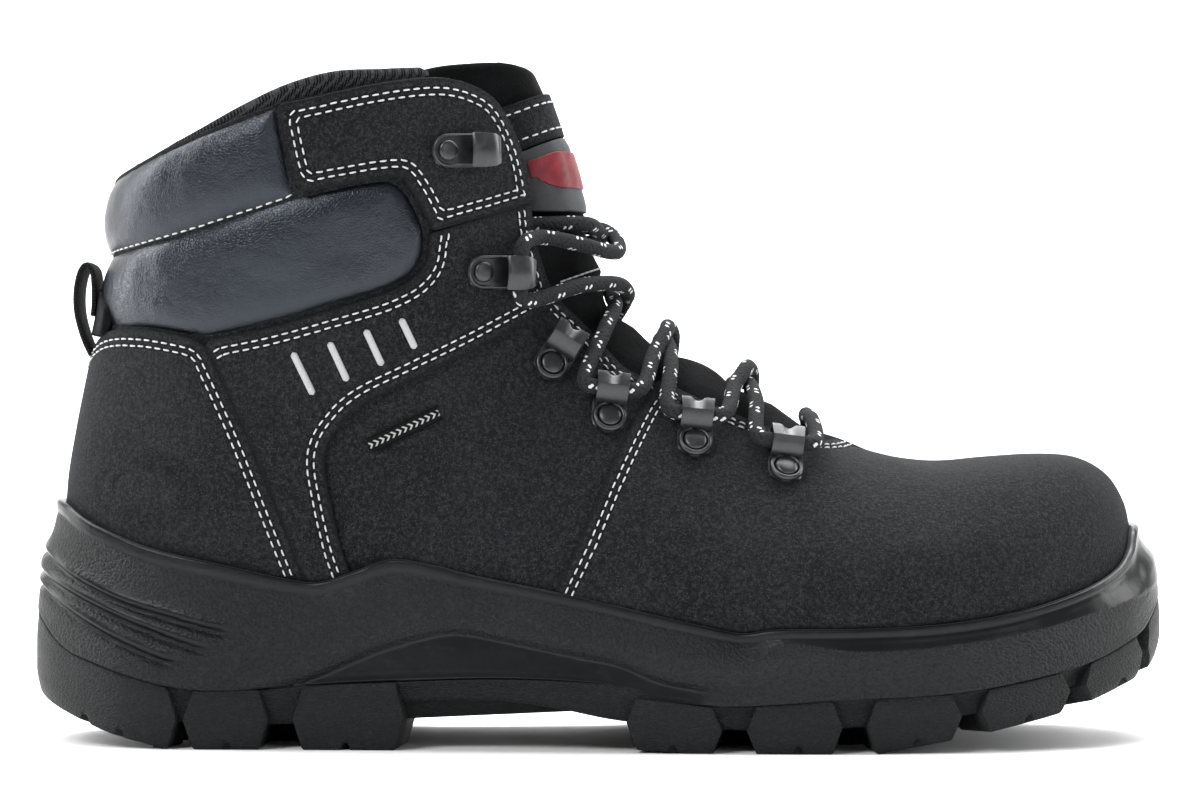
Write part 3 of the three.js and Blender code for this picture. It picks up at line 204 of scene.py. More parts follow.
# Relief of the midsole's wall in the side view.
HEEL_RIBS = [
    [(-158.8, 54.5), (-156.3, 53), (-146.2, 45.9), (-131.8, 39.4), (-117.4, 35.1), (-106.7, 32.2),
     (-97.3, 30.4)],
    [(-158.8, 48.5), (-157, 47.3), (-151.2, 43.7), (-139, 38), (-124.6, 32.2), (-110.2, 27.2), (-103, 26.4)],
    [(-158.8, 45), (-157.7, 44), (-149.1, 38), (-139, 32.2), (-128.2, 27.2), (-117.4, 23.2), (-111, 24.3)],
]
ARCH_LINE = [
    (-104, 14.5), (-99.5, 15.7), (-81.5, 19.2), (-70.7, 23.5), (-60, 27.9), (-47.8, 31.5), (-38.3, 32.8),
    (-27.5, 31), (-16.7, 28.8), (-5.9, 26.7), (4.9, 24.5), (15.7, 20.2), (26.5, 18), (33.7, 17.3), (40, 15),
]
TOE_BAND = [(44, 26), (50.9, 29.3), (68.9, 27.2), (94, 28.6), (122.8, 33.6), (151.6, 41.5), (158.8, 46)]

# Lace hardware: side-view place of the rivet or base, and the direction to the throat.
LOOPS = [
    ((50.6, 75.2), (0.12, 1)), ((25.8, 82.6), (0.1, 1)), ((2.4, 89.6), (0.12, 1)),
    ((-13.6, 104.2), (0.5, 0.8)),
]
HOOKS = [((-29.2, 130.2), (1, -0.02)), ((-38.6, 163.0), (1, 0.02))]
BARS = [  # top and foot of each reflective bar
    ((-83.0, 107.2), (-78.3, 97.3)), ((-73.2, 110.0), (-69.2, 101.0)), ((-63.6, 113.4), (-59.9, 105.2)),
    ((-54.2, 116.5), (-51.1, 109.8)),
]
SIDE_TAB = [(-63.6, 84.2), (-44.8, 93.2), (-43.0, 89.6), (-61.8, 80.6)]

# The lace's route, as in the CAD model, from its lateral end to its medial end.
LACE_ROUTE = [
    (-15, -20.1, 107.6), (-22.4, -20.9, 115.2), (-28.4, -22.4, 125.8), (-31.5, -24.1, 137),
    (-28.6, -22.6, 142.7), (-20.6, -17.1, 143.6), (-4, -10, 144.2), (-0.8, 0, 142.9), (0.2, 8, 141),
    (-5, 15.5, 139.4), (-14.5, 24.5, 138.4), (-21.1, 31.7, 137.1), (-21.2, 31.4, 129.9),
    (-21.3, 31.1, 122.7), (-4.5, 18.9, 126.9), (2.4, 6.2, 126.2), (3.6, -0.2, 123.7), (4.3, -6.8, 121.5),
    (1.3, -18.5, 114), (-3.7, -31.6, 99.5), (3.5, -30.9, 98.7), (10.6, -30.2, 97.8), (15.3, -15.9, 108.3),
    (18.8, -7.5, 114.7), (19.2, -1.8, 115.6), (20.6, 4.3, 113.4), (19.9, 13.5, 104.6), (19.5, 27, 92.3),
    (26.6, 26.6, 91.6), (33.8, 26.3, 90.9), (37.4, 10.9, 99.1), (39.4, 2.2, 101), (39.7, -1.9, 100.3),
    (41.6, -6.6, 99.7), (43.4, -17, 95), (44.2, -31.9, 84.8), (51.3, -30.9, 84), (58.4, -30, 83.1),
    (59.1, -11.1, 89.7), (58.3, -3.8, 90.3), (58.2, -0.6, 90.9), (58.3, 2.6, 90.3), (59, 10, 89.8),
    (58.8, 29, 83), (51.6, 29.1, 83.9), (44.5, 29.1, 84.8), (43.2, 13.8, 95.1), (43, 3.9, 102.6),
    (41.8, -1.9, 104.3), (41, -6.8, 103.9), (37.6, -14.9, 99), (33.7, -30.4, 90.9), (26.6, -31.1, 91.6),
    (19.5, -31.7, 92.3), (19.8, -17.6, 104.7), (19, -7, 110.7), (17, -1.8, 111.7), (17.3, 2.8, 111.8),
    (15.4, 12.2, 108.2), (10.5, 26.4, 97.8), (3.5, 27.6, 98.7), (-3.5, 28.8, 99.5), (1.6, 16.9, 113.7),
    (7.1, 7.3, 122.9), (7.8, -0.2, 125.3), (5.3, -7.6, 127.4), (-4.4, -18.8, 126.9),
    (-21.3, -31.1, 122.7), (-21.2, -31.4, 129.9), (-21.1, -31.7, 137.1), (-17, -25.5, 139.8),
    (-7, -18, 138.6), (1, -9, 136.8), (5, -1, 136.8), (5, 5, 139.6), (1.6, 10, 143), (-5.2, 12.8, 144.4),
    (-20.6, 17.1, 143.6), (-28.6, 22.6, 142.7), (-31.5, 24.1, 137), (-28.4, 22.4, 125.8),
    (-22.3, 20.9, 115.1), (-15.4, 19.7, 108),
]
CREST_SPOTS = [(57.5, 88.9), (39.6, 99.2), (18.0, 110.6), (4.5, 123.2), (-1.5, 140.5)]  # lace on the tongue


# ---------------------------------------------------------------- lines and fields
def spline(table, share):
    """The rows of a table joined by a smooth curve, at shares of the way along it."""
    keys = np.asarray(table, float)
    keys = np.vstack([2 * keys[0] - keys[1], keys, 2 * keys[-1] - keys[-2]])
    place = np.clip(share, 0, 1) * (len(keys) - 3)
    first = np.minimum(place.astype(int), len(keys) - 4)
    t = (place - first)[..., None]
    a, b, c, d = (keys[first + i] for i in range(4))
    return b + 0.5 * t * (c - a + t * (2 * a - 5 * b + 4 * c - d + t * (3 * b - a - 3 * c + d)))


def centripetal(points, steps):
    """A smooth curve through points that doesn't swing out at close ones; steps pieces between two."""
    keys = np.asarray(points, float)
    keys = np.vstack([2 * keys[0] - keys[1], keys, 2 * keys[-1] - keys[-2]])
    gap = np.maximum(np.linalg.norm(np.diff(keys, axis=0), axis=1) ** 0.5, 1e-4)[:, None]
    p0, p1, p2, p3 = keys[:-3], keys[1:-2], keys[2:-1], keys[3:]
    g0, g1, g2 = gap[:-2], gap[1:-1], gap[2:]
    start = ((p1 - p0) / g0 - (p2 - p0) / (g0 + g1) + (p2 - p1) / g1) * g1
    end = ((p2 - p1) / g1 - (p3 - p1) / (g1 + g2) + (p3 - p2) / g2) * g1
    t = np.linspace(0, 1, steps, endpoint=False)[None, :, None]
    a, b, m, n = p1[:, None], p2[:, None], start[:, None], end[:, None]
    curve = a + m * t + (3 * (b - a) - 2 * m - n) * t**2 + (2 * (a - b) + m + n) * t**3
    return np.vstack([curve.reshape(-1, keys.shape[1]), keys[-2]])


def smooth(line, steps=6):
    """A side-view line with steps pieces between its points, straight if it has only two."""
    if len(line) < 3:
        return np.asarray(line, float)
    return spline(line, np.linspace(0, 1, (len(line) - 1) * steps + 1))


def outline_of(stretches):
    """A closed outline from smooth stretches that meet at corners."""
    return np.vstack([smooth(stretch)[:-1] for stretch in stretches] + [smooth(stretches[-1])[-1:]])


def height_of(line):
    """The height of a side-view line as a function of x."""
    curve = smooth(line)
    order = np.argsort(curve[:, 0])
    return lambda x: np.interp(x, curve[order, 0], curve[order, 1])


def resampled(points, spacing):
    """A polyline's points put at even spacing."""
    length = np.concatenate([[0], np.cumsum(np.linalg.norm(np.diff(points, axis=0), axis=1))])
    count = max(int(round(length[-1] / spacing)), 1)
    at = np.linspace(0, length[-1], count + 1)
    return np.stack([np.interp(at, length, points[:, i]) for i in range(points.shape[1])], axis=1)


def ease(value, low, high):
    """0 below low, 1 above high, smooth between."""
    t = np.clip((value - low) / (high - low), 0, 1)
    return t * t * (3 - 2 * t)


def unit(vectors):
    return vectors / np.maximum(np.linalg.norm(vectors, axis=-1, keepdims=True), 1e-9)


def noise(points, size, seed=0):
    """Smooth noise from -1 to 1 with lumps of a size in mm."""
    place = points / size + 37.0 * (seed + 1)
    cell = np.floor(place).astype(np.int64)
    t = place - cell
    t = t * t * (3 - 2 * t)
    total = np.zeros(len(points))
    for corner in itertools.product((0, 1), repeat=3):
        weight = np.prod(np.where(corner, t, 1 - t), axis=1)
        key = (cell + corner) @ np.array([73856093, 19349663, 83492791])
        total += weight * ((key * 2654435761 >> 9) % 1024 / 511.5 - 1)
    return total


def inside(places, outline):
    """How far side-view places are inside a closed outline, negative outside."""
    x, z = places.T
    nearest = np.full(len(places), np.inf)
    odd = np.zeros(len(places), bool)
    for (ax, az), (bx, bz) in zip(outline, np.roll(outline, -1, axis=0)):
        ex, ez = bx - ax, bz - az
        square = ex * ex + ez * ez
        if square < 1e-9:
            continue
        t = np.clip(((x - ax) * ex + (z - az) * ez) / square, 0, 1)
        nearest = np.minimum(nearest, (x - ax - t * ex) ** 2 + (z - az - t * ez) ** 2)
        if az != bz:
            odd ^= ((az > z) != (bz > z)) & (x < ax + ex * (z - az) / ez)
    return np.where(odd, 1, -1) * np.sqrt(nearest)


# ---------------------------------------------------------------- the upper's surface
def upper_points(u, v):
    """Points of the upper: u from toe (0) to collar (1), v round from the front over the lateral side."""
    fx, fz, bx, bz, half, centre, widest, front, back = np.moveaxis(spline(SECTIONS, u), -1, 0)
    cos, sin = np.cos(2 * np.pi * v), np.sin(2 * np.pi * v)
    power = 2 / np.where(cos > 0, front, back)
    bend = np.abs(cos) ** power
    along = np.where(cos > 0, widest * (1 - bend), widest + (1 - widest) * bend)
    across = np.sign(sin) * np.abs(sin) ** power
    return np.stack([fx + (bx - fx) * along, centre - half * across, fz + (bz - fz) * along], axis=-1)


class Surface:
    """A lattice of points with normals, triangles and a flat pattern (uv, in mm)."""

    def __init__(self, points, closed):
        rows, columns = points.shape[:2]
        along = np.gradient(points, axis=0)
        if closed:
            round_about = np.roll(points, -1, axis=1) - np.roll(points, 1, axis=1)
        else:
            round_about = np.gradient(points, axis=1)
        self.normals = unit(np.cross(along, round_about)).reshape(-1, 3)
        self.points = points.reshape(-1, 3)
        spans = columns if closed else columns - 1
        row, column = np.meshgrid(np.arange(rows - 1), np.arange(spans), indexing="ij")
        right = (column + 1) % columns
        a, b = row * columns + column, row * columns + right
        c, d = b + columns, a + columns
        halves = [np.stack(corners, -1).reshape(-1, 3) for corners in ((a, d, b), (b, d, c))]
        self.faces = np.concatenate(halves)
        uv = np.zeros((rows, columns, 2))
        uv[1:, :, 1] = np.linalg.norm(np.diff(points, axis=0), axis=2).cumsum(axis=0)
        uv[:, 1:, 0] = np.linalg.norm(np.diff(points, axis=1), axis=2).cumsum(axis=1)
        uv[:, :, 0] -= uv[:, columns // 2, 0][:, None]
        self.uv = uv.reshape(-1, 2)
        self.side = self.points[:, [0, 2]]


ROWS, COLUMNS = 340, 300


def upper_surface(rows, columns):
    """The upper as a lattice, from just behind the tip of its toe."""
    u, v = np.meshgrid(np.linspace(0.004, 1, rows), np.arange(columns) / columns, indexing="ij")
    return Surface(upper_points(u, v), closed=True)


upper = upper_surface(ROWS, COLUMNS)
upper_tree = BVHTree.FromPolygons(upper.points.tolist(), upper.faces.tolist())


def on_side(x, z, side):
    """The upper's point and normal behind a side-view place, seen from one side."""
    hit, _, face, _ = upper_tree.ray_cast(Vector((x, side * 90, z)), Vector((0, -side, 0)))
    corners = upper.faces[face]
    spots = upper.points[corners]
    weights = 1 / np.maximum(np.linalg.norm(spots - np.array(hit), axis=1), 1e-6)
    return np.array(hit), unit((upper.normals[corners] * weights[:, None]).sum(axis=0))


# ---------------------------------------------------------------- meshes
def put(name, points, faces, look, body, replaces=(), slot=None, uv=None, **fields):
    """Makes a piece from points in mm, with per-point fields for its material.

    The slot argument is not used.
    """
    mesh = bpy.data.meshes.new(name)
    mesh.from_pydata((np.asarray(points) * MM).tolist(), [], [list(map(int, face)) for face in faces])
    for field, values in fields.items():
        attribute = mesh.attributes.new(field, "FLOAT", "POINT")
        attribute.data.foreach_set("value", np.asarray(values, np.float32))
    if uv is not None:
        corners = np.zeros(len(mesh.loops), np.int32)
        mesh.loops.foreach_get("vertex_index", corners)
        mesh.uv_layers.new(name="pattern").data.foreach_set("uv", np.asarray(uv, np.float32)[corners].ravel())
    mesh.polygons.foreach_set("use_smooth", [True] * len(mesh.polygons))
    mesh.materials.append(MATERIALS[look])
    piece = bpy.data.objects.new(name, mesh)
    bpy.context.scene.collection.objects.link(piece)
    if body:
        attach(piece, body)
    if replaces:
        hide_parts(*replaces)
    return piece


def ring_faces(rings, sides):
    """The faces from each of some stacked rings of points to the next."""
    index = np.arange(rings * sides).reshape(rings, sides)
    following = np.roll(index, -1, axis=1)
    corners = [index[:-1], following[:-1], following[1:], index[1:]]
    return np.stack(corners, axis=-1).reshape(-1, 4).tolist()


def capped_faces(rings, sides):
    """The faces of a closed tube of stacked rings."""
    last = (rings - 1) * sides
    return ring_faces(rings, sides) + [list(range(sides))[::-1], list(range(last, last + sides))]


def clip(faces, value):
    """Cuts triangles along value 0: the kept faces, and each new corner's edge and share along it."""
    value = np.where(np.abs(value) < 0.12, 0, value)
    count = (value[faces] >= 0).sum(axis=1)
    kept = faces[count == 3].tolist()
    corners, made = {}, []

    def crossing(a, b):
        if value[a] == 0:
            return a
        key = (a, b) if a < b else (b, a)
        if key not in corners:
            corners[key] = len(value) + len(made)
            made.append((a, b, value[a] / (value[a] - value[b])))
        return corners[key]

    for face in faces[(count == 1) | (count == 2)].tolist():
        ring = []
        for a, b in zip(face, face[1:] + face[:1]):
            if value[a] >= 0:
                ring.append(a)
            if (value[a] >= 0) != (value[b] >= 0):
                ring.append(crossing(a, b) if value[a] >= 0 else crossing(b, a))
        ring = [p for i, p in enumerate(ring) if p != ring[i - 1]]
        kept += [[ring[0], ring[i], ring[i + 1]] for i in range(1, len(ring) - 1)]
    return np.array(kept), made


def rims(faces, count):
    """The directed edges that belong to only one face."""
    edges = np.concatenate([faces[:, [0, 1]], faces[:, [1, 2]], faces[:, [2, 0]]])
    code, back = edges[:, 0] * count + edges[:, 1], edges[:, 1] * count + edges[:, 0]
    return edges[~np.isin(code, back)]


class Panel:
    """The part of a surface where value is positive, with its edge and its distance from the edge."""

    def __init__(self, surface, value):
        faces, made = clip(surface.faces, value)
        a, b, share = (np.array(column) for column in zip(*made)) if made else ([], [], np.zeros(0))
        used, flat = np.unique(faces, return_inverse=True)

        def carried(data):
            more = data[a] + (data[b] - data[a]) * share[:, None] if len(made) else data[:0]
            return np.concatenate([data, more])[used]

        self.faces = flat.reshape(-1, 3)
        self.points = carried(surface.points)
        self.normals = unit(carried(surface.normals))
        self.uv = carried(surface.uv)
        self.side = self.points[:, [0, 2]]
        self.rim = rims(self.faces, len(self.points))
        self.edge = self.distance(self.points[np.unique(self.rim)])

    def distance(self, spots):
        """Distance of each point from the nearest of some spots."""
        tree = KDTree(len(spots))
        for i, spot in enumerate(spots):
            tree.insert(spot, i)
        tree.balance()
        return np.array([tree.find(point)[2] for point in self.points])

    def seam_distance(self, lines):
        """Distance from the stretches of the edge that follow some side-view lines."""
        rim = np.unique(self.rim)
        near = np.full(len(rim), np.inf)
        for line in lines:
            curve = resampled(smooth(line), 0.5)
            gaps = np.linalg.norm(self.side[rim][:, None] - curve[None], axis=2)
            near = np.minimum(near, gaps.min(axis=1))
        return self.distance(self.points[rim[near < 0.9]])


EDGE_ROWS = 5


def shell(name, panel, inner, outer, look, body="boot", bulge=0.5, **more):
    """A closed sheet between two heights over a panel, with a rounded edge all round."""
    count = len(panel.points)
    inner = np.broadcast_to(inner, count)
    outer = np.broadcast_to(outer, count)
    start, end = panel.rim.T
    outward = np.zeros((count, 3))
    push = np.cross(panel.points[end] - panel.points[start], panel.normals[start])
    np.add.at(outward, start, push)
    np.add.at(outward, end, push)
    rim = np.unique(panel.rim)
    outward = unit(outward[rim])
    middle = ((outer + inner) / 2)[rim, None]
    half = ((outer - inner) / 2)[rim, None]
    points = [panel.points + panel.normals * outer[:, None]]
    for row in range(1, EDGE_ROWS):
        turn = math.pi * row / EDGE_ROWS
        up = np.sign(math.cos(turn)) * abs(math.cos(turn)) ** 0.7
        out = math.sin(turn) ** 0.7 * bulge
        points.append(panel.points[rim] + panel.normals[rim] * (middle + half * up) + outward * out)
    points.append(panel.points + panel.normals * inner[:, None])
    place = np.zeros(count, int)
    place[rim] = np.arange(len(rim))
    rows = [np.arange(count)[panel.rim]]
    rows += [count + row * len(rim) + place[panel.rim] for row in range(EDGE_ROWS - 1)]
    inner_first = count + (EDGE_ROWS - 1) * len(rim)
    rows.append(inner_first + panel.rim)
    faces = panel.faces.tolist() + (panel.faces[:, ::-1] + inner_first).tolist()
    for upper_row, lower_row in zip(rows, rows[1:]):
        faces += np.concatenate([upper_row[:, ::-1], lower_row], axis=1).tolist()
    every = np.concatenate([np.arange(count)] + [rim] * (EDGE_ROWS - 1) + [np.arange(count)])
    fields = {key: np.asarray(value)[every] for key, value in more.pop("fields", {}).items()}
    fields["edge"] = panel.edge[every]
    piece = put(name, np.vstack(points), faces, look, body, uv=panel.uv[every], **fields, **more)
    panel.outer = points[0]
    return piece


# ---------------------------------------------------------------- stitching
def contour(faces, field, level):
    """The lines over some triangles where a field has a level, as chains of (point, point, share)."""
    above = field[faces] > level
    crossed = faces[(above.sum(axis=1) > 0) & (above.sum(axis=1) < 3)]
    links = {}
    for face in crossed.tolist():
        ends = []
        for a, b in zip(face, face[1:] + face[:1]):
            if (field[a] > level) != (field[b] > level):
                ends.append((min(a, b), max(a, b)))
        links.setdefault(ends[0], []).append(ends[1])
        links.setdefault(ends[1], []).append(ends[0])
    chains, seen = [], set()
    for start in sorted(links, key=lambda key: (len(links[key]), key)):
        if start in seen:
            continue
        chain, here = [], start
        while here is not None:
            seen.add(here)
            chain.append(here)
            here = next((other for other in links[here] if other not in seen), None)
        chains.append([(a, b, (level - field[a]) / (field[b] - field[a])) for a, b in chain])
    return chains


def stitch_shapes(spots, directions, normals):
    """Short arched threads whose ends dive into the leather."""
    sides = 6
    lengths = np.array([-0.98, -0.74, 0, 0.74, 0.98])
    heights = np.array([-0.2, 0.16, 0.3, 0.16, -0.2])
    radii = np.array([0.14, 0.22, 0.26, 0.22, 0.14])
    across = np.cross(directions, normals)
    turn = 2 * np.pi * np.arange(sides) / sides
    ring = (across[:, None, None] * np.cos(turn)[None, None, :, None]
            + normals[:, None, None] * np.sin(turn)[None, None, :, None]) * radii[None, :, None, None]
    middle = directions[:, None] * lengths[None, :, None] + normals[:, None] * heights[None, :, None]
    points = spots[:, None, None] + middle[:, :, None] + ring
    per = len(lengths) * sides
    faces = capped_faces(len(lengths), sides)
    every = [[corner + i * per for corner in face] for i in range(len(spots)) for face in faces]
    return points.reshape(-1, 3), every


def stitches(name, panel, field, levels, body="boot", margin=1.2, keep=None):
    """Rows of stitches over a panel, along the lines where a distance field has some levels."""
    spots, ways, ups = [], [], []
    for level in levels:
        for chain in contour(panel.faces, field, level):
            a, b, share = (np.array(column) for column in zip(*chain))
            share = share[:, None]

            def along(data):
                return data[a] * (1 - share) + data[b] * share

            line = np.hstack([along(panel.outer), along(panel.normals), along(panel.edge[:, None])])
            if len(line) < 4 or np.linalg.norm(np.diff(line[:, :3], axis=0), axis=1).sum() < STITCH_PITCH:
                continue
            line = resampled(line, STITCH_PITCH)
            way = unit(np.gradient(line[:, :3], axis=0))
            good = line[:, 6] > margin
            if keep is not None:
                good &= keep(line[:, :3])
            spots.append(line[good, :3])
            ways.append(way[good])
            ups.append(unit(line[good, 3:6]))
    points, faces = stitch_shapes(np.vstack(spots), np.vstack(ways), np.vstack(ups))
    return put(name, points, faces, "thread", body, slot="")


# ---------------------------------------------------------------- materials
class Nodes:
    """A material's node tree, with one short call for each kind of node."""

    def __init__(self, name, roughness, metallic=0.0, specular=0.5, sheen=0.0, coat=0.0):
        self.material = bpy.data.materials.new(name)
        self.material.use_nodes = True
        self.tree = self.material.node_tree
        self.shader = self.tree.nodes["Principled BSDF"]
        self.shader.inputs["Roughness"].default_value = roughness
        self.shader.inputs["Metallic"].default_value = metallic
        self.shader.inputs["Specular IOR Level"].default_value = specular
        self.shader.inputs["Sheen Weight"].default_value = sheen
        self.shader.inputs["Sheen Roughness"].default_value = 0.45
        self.shader.inputs["Coat Weight"].default_value = coat
        self.shader.inputs["Coat Roughness"].default_value = 0.25
        self.place = self.node("ShaderNodeTexCoord").outputs["Object"]

    def node(self, kind, **settings):
        made = self.tree.nodes.new(kind)
        for key, value in settings.items():
            setattr(made, key, value)
        return made

    def feed(self, socket, value):
        if isinstance(value, bpy.types.NodeSocket):
            self.tree.links.new(value, socket)
        elif isinstance(value, tuple) and len(value) == 3 and socket.type == "RGBA":
            socket.default_value = (*value, 1)
        else:
            socket.default_value = value

    def math(self, operation, a, b=0.0, c=0.0):
        made = self.node("ShaderNodeMath", operation=operation)
        for socket, value in zip(made.inputs, (a, b, c)):
            self.feed(socket, value)
        return made.outputs[0]

    def ramp(self, value, low, high, start=0.0, end=1.0):
        """value from low..high to start..end, smoothly and clamped."""
        made = self.node("ShaderNodeMapRange", interpolation_type="SMOOTHSTEP")
        for socket, given in zip(made.inputs, (value, low, high, start, end)):
            self.feed(socket, given)
        return made.outputs[0]

    def mix(self, share, a, b):
        made = self.node("ShaderNodeMix", data_type="RGBA")
        self.feed(made.inputs["Factor"], share)
        self.feed(made.inputs[6], a)
        self.feed(made.inputs[7], b)
        return made.outputs[2]

    def stretched(self, scale, source=None, turn=0.0):
        made = self.node("ShaderNodeMapping")
        made.inputs["Rotation"].default_value = (0, 0, turn)
        self.feed(made.inputs["Vector"], source or self.place)
        made.inputs["Scale"].default_value = scale
        return made.outputs[0]

    def noise(self, size, detail=3.0, source=None, rough=0.55):
        """Noise with lumps of a size in mm."""
        made = self.node("ShaderNodeTexNoise")
        self.feed(made.inputs["Vector"], source or self.place)
        made.inputs["Scale"].default_value = 1 / (size * MM) if source is None else 1 / size
        made.inputs["Detail"].default_value = detail
        made.inputs["Roughness"].default_value = rough
        return made.outputs["Fac"]

    def cells(self, size, source=None, feature="F1", random=1.0):
        made = self.node("ShaderNodeTexVoronoi", feature=feature)
        self.feed(made.inputs["Vector"], source or self.place)
        made.inputs["Scale"].default_value = 1 / (size * MM) if source is None else 1 / size
        made.inputs["Randomness"].default_value = random
        return made.outputs["Distance"]

    def field(self, name):
        return self.node("ShaderNodeAttribute", attribute_name=name).outputs["Fac"]

    def pattern(self):
        """The flat pattern's coordinates, in mm."""
        return self.node("ShaderNodeUVMap", uv_map="pattern").outputs[0]

    def parts(self, vector):
        made = self.node("ShaderNodeSeparateXYZ")
        self.feed(made.inputs[0], vector)
        return made.outputs[0], made.outputs[1]

    def bump(self, height, depth, below=None):
        """Relief of a depth in mm; below is relief to add it to."""
        made = self.node("ShaderNodeBump")
        made.inputs["Strength"].default_value = 1.0
        made.inputs["Distance"].default_value = depth * MM
        self.feed(made.inputs["Height"], height)
        if below is not None:
            self.feed(made.inputs["Normal"], below)
        return made.outputs[0]

    def finish(self, color, normal=None, roughness=None):
        self.feed(self.shader.inputs["Base Color"], color)
        if normal is not None:
            self.feed(self.shader.inputs["Normal"], normal)
        if roughness is not None:
            self.feed(self.shader.inputs["Roughness"], roughness)
        return self.material


def grey(level, blue=0.0):
    """A dark neutral, a little blue, from an sRGB level of 0 to 255."""
    def linear(value):
        value = value / 255
        return value / 12.92 if value <= 0.04045 else ((value + 0.055) / 1.055) ** 2.4
    return (linear(level), linear(level + blue * 0.4), linear(level + blue))


def tint(red, green, blue):
    """A colour from sRGB levels of 0 to 255."""
    return tuple(grey(level)[0] for level in (red, green, blue))


def seam_grooves(nodes, below):
    """Grooves under the two stitch rows, from the distance to the sewn edge."""
    seam = nodes.field("seam")
    gaps = [nodes.math("ABSOLUTE", nodes.math("SUBTRACT", seam, row)) for row in STITCH_ROWS]
    groove = nodes.ramp(nodes.math("MINIMUM", *gaps), 0.15, 0.95)
    return nodes.bump(groove, 0.35, below), groove


def nubuck():
    nodes = Nodes("nubuck", 0.75, specular=0.14)
    cloud = nodes.noise(26, 4)
    nap = nodes.noise(1.1, 5, rough=0.75)
    pores = nodes.cells(1.1)
    hair = nodes.noise(0.4, 2)
    color = nodes.mix(nodes.ramp(cloud, 0.3, 0.7), grey(12, 4), grey(22, 5))
    color = nodes.mix(nodes.ramp(nap, 0.42, 0.72, 0, 0.8), color, grey(54, 5))
    color = nodes.mix(nodes.ramp(nap, 0.3, 0.5, 0.8, 0), color, grey(6, 3))
    color = nodes.mix(nodes.ramp(hair, 0.56, 0.75, 0, 0.6), color, grey(82, 4))
    folds = nodes.noise(9, 0, source=nodes.stretched((1000, 500, 350)))
    crease = nodes.math("MULTIPLY", folds, nodes.field("flex"))
    normal = nodes.bump(nodes.noise(11, 4, rough=0.6), 1.0)
    normal = nodes.bump(crease, 1.6, normal)
    normal = nodes.bump(nodes.ramp(nap, 0.3, 0.75), 0.3, normal)
    normal = nodes.bump(nodes.ramp(pores, 0.0, 0.45), 0.12, normal)
    normal = nodes.bump(hair, 0.1, normal)
    normal, groove = seam_grooves(nodes, normal)
    # painted shade: the leather is darkened along the two stitch rows, in their grooves
    color = nodes.mix(nodes.ramp(groove, 0, 1, 0.55, 0), color, grey(12, 2))
    # painted shade: darker within about a millimetre of every cut edge, where the rolled edge turns away from
    # the light
    edge_shade = nodes.ramp(nodes.field("edge"), 0.0, 1.1, 0.6, 0)
    color = nodes.mix(edge_shade, color, grey(14, 2))
    return nodes.finish(color, normal, nodes.ramp(nap, 0.3, 0.8, 0.7, 0.9))


def collar_leather():
    nodes = Nodes("collar_leather", 0.32, specular=0.5)
    nodes.shader.inputs["Specular Tint"].default_value = (0.8, 0.87, 1, 1)
    grain = nodes.cells(0.8, feature="DISTANCE_TO_EDGE")
    cloud = nodes.noise(30, 3)
    color = nodes.mix(nodes.ramp(cloud, 0.3, 0.7), grey(10, 8), grey(16, 10))
    normal = nodes.bump(nodes.noise(7, 4), 0.5)
    normal = nodes.bump(nodes.ramp(grain, 0.0, 0.2), 0.04, normal)
    # painted shade: the pads are darker towards their sewn edges, where they curve down into the seams
    color = nodes.mix(nodes.ramp(nodes.field("edge"), 0.0, 2.4, 0.7, 0), color, grey(6, 2))
    return nodes.finish(color, normal, nodes.ramp(cloud, 0.3, 0.7, 0.27, 0.36))


def suede():
    nodes = Nodes("suede", 0.95, specular=0.06, sheen=0.02)
    fibre = nodes.noise(0.7, 4, rough=0.7)
    cloud = nodes.noise(12, 4)
    color = nodes.mix(nodes.ramp(cloud, 0.3, 0.7), grey(12, 1), grey(19, 2))
    color = nodes.mix(nodes.ramp(fibre, 0.5, 0.75, 0, 0.5), color, grey(34, 2))
    normal = nodes.bump(cloud, 1.2)
    return nodes.finish(color, nodes.bump(fibre, 0.25, normal))


def mesh_fabric():
    """Spacer mesh: staggered rows of round holes in a knitted face."""
    nodes = Nodes("mesh_fabric", 0.85, specular=0.12, sheen=0.02)
    turned = nodes.stretched((1, 1, 1), source=nodes.pattern(), turn=math.pi / 4)
    knit = nodes.ramp(nodes.cells(1.45, source=turned, random=0.0), 0.22, 0.42)
    yarn = nodes.noise(0.35, 2)
    # painted shade: the holes in the knit are painted near black
    color = nodes.mix(knit, grey(3), nodes.mix(nodes.ramp(yarn, 0.35, 0.7), grey(34, 2), grey(66, 3)))
    normal = nodes.bump(knit, 0.6)
    return nodes.finish(color, nodes.bump(yarn, 0.1, normal))


def rubber(name, low, high, roughness, ribbing):
    """Moulded rubber with a rippled stipple: smooth where the field polish is 1; where it is 2, a lip painted
    pale as a highlight.
    """
    nodes = Nodes(name, roughness, specular=0.2)
    stipple = nodes.noise(1, 2, source=nodes.stretched((1100, 1100, ribbing)))
    cloud = nodes.noise(35, 4)
    dust = nodes.noise(3, 6, rough=0.7)
    polish = nodes.field("polish")
    color = nodes.mix(nodes.ramp(cloud, 0.3, 0.7), grey(low, 3), grey(high, 3))
    color = nodes.mix(nodes.ramp(dust, 0.5, 0.8, 0, 0.35), color, grey(high + 22, 3))
    # painted shade in the cut grooves of the midsole's wall
    color = nodes.mix(nodes.ramp(nodes.field("groove"), 0, 1, 0, 0.85), color, grey(6, 2))
    # painted highlight: where polish is 2, the lip round the upper is painted pale
    color = nodes.mix(nodes.ramp(polish, 1.2, 2, 0, 0.8), color, grey(84, 4))
    rough = nodes.ramp(polish, 0, 1, 1, 0)
    relief = nodes.math("MULTIPLY", nodes.ramp(stipple, 0.35, 0.65), rough)
    color = nodes.mix(nodes.math("MULTIPLY", relief, 0.25), color, grey(high + 30, 3))
    normal = nodes.bump(nodes.noise(9, 3), 0.3)
    normal = nodes.bump(relief, 0.24, normal)
    return nodes.finish(color, normal, nodes.ramp(polish, 0, 1, roughness, roughness - 0.18))


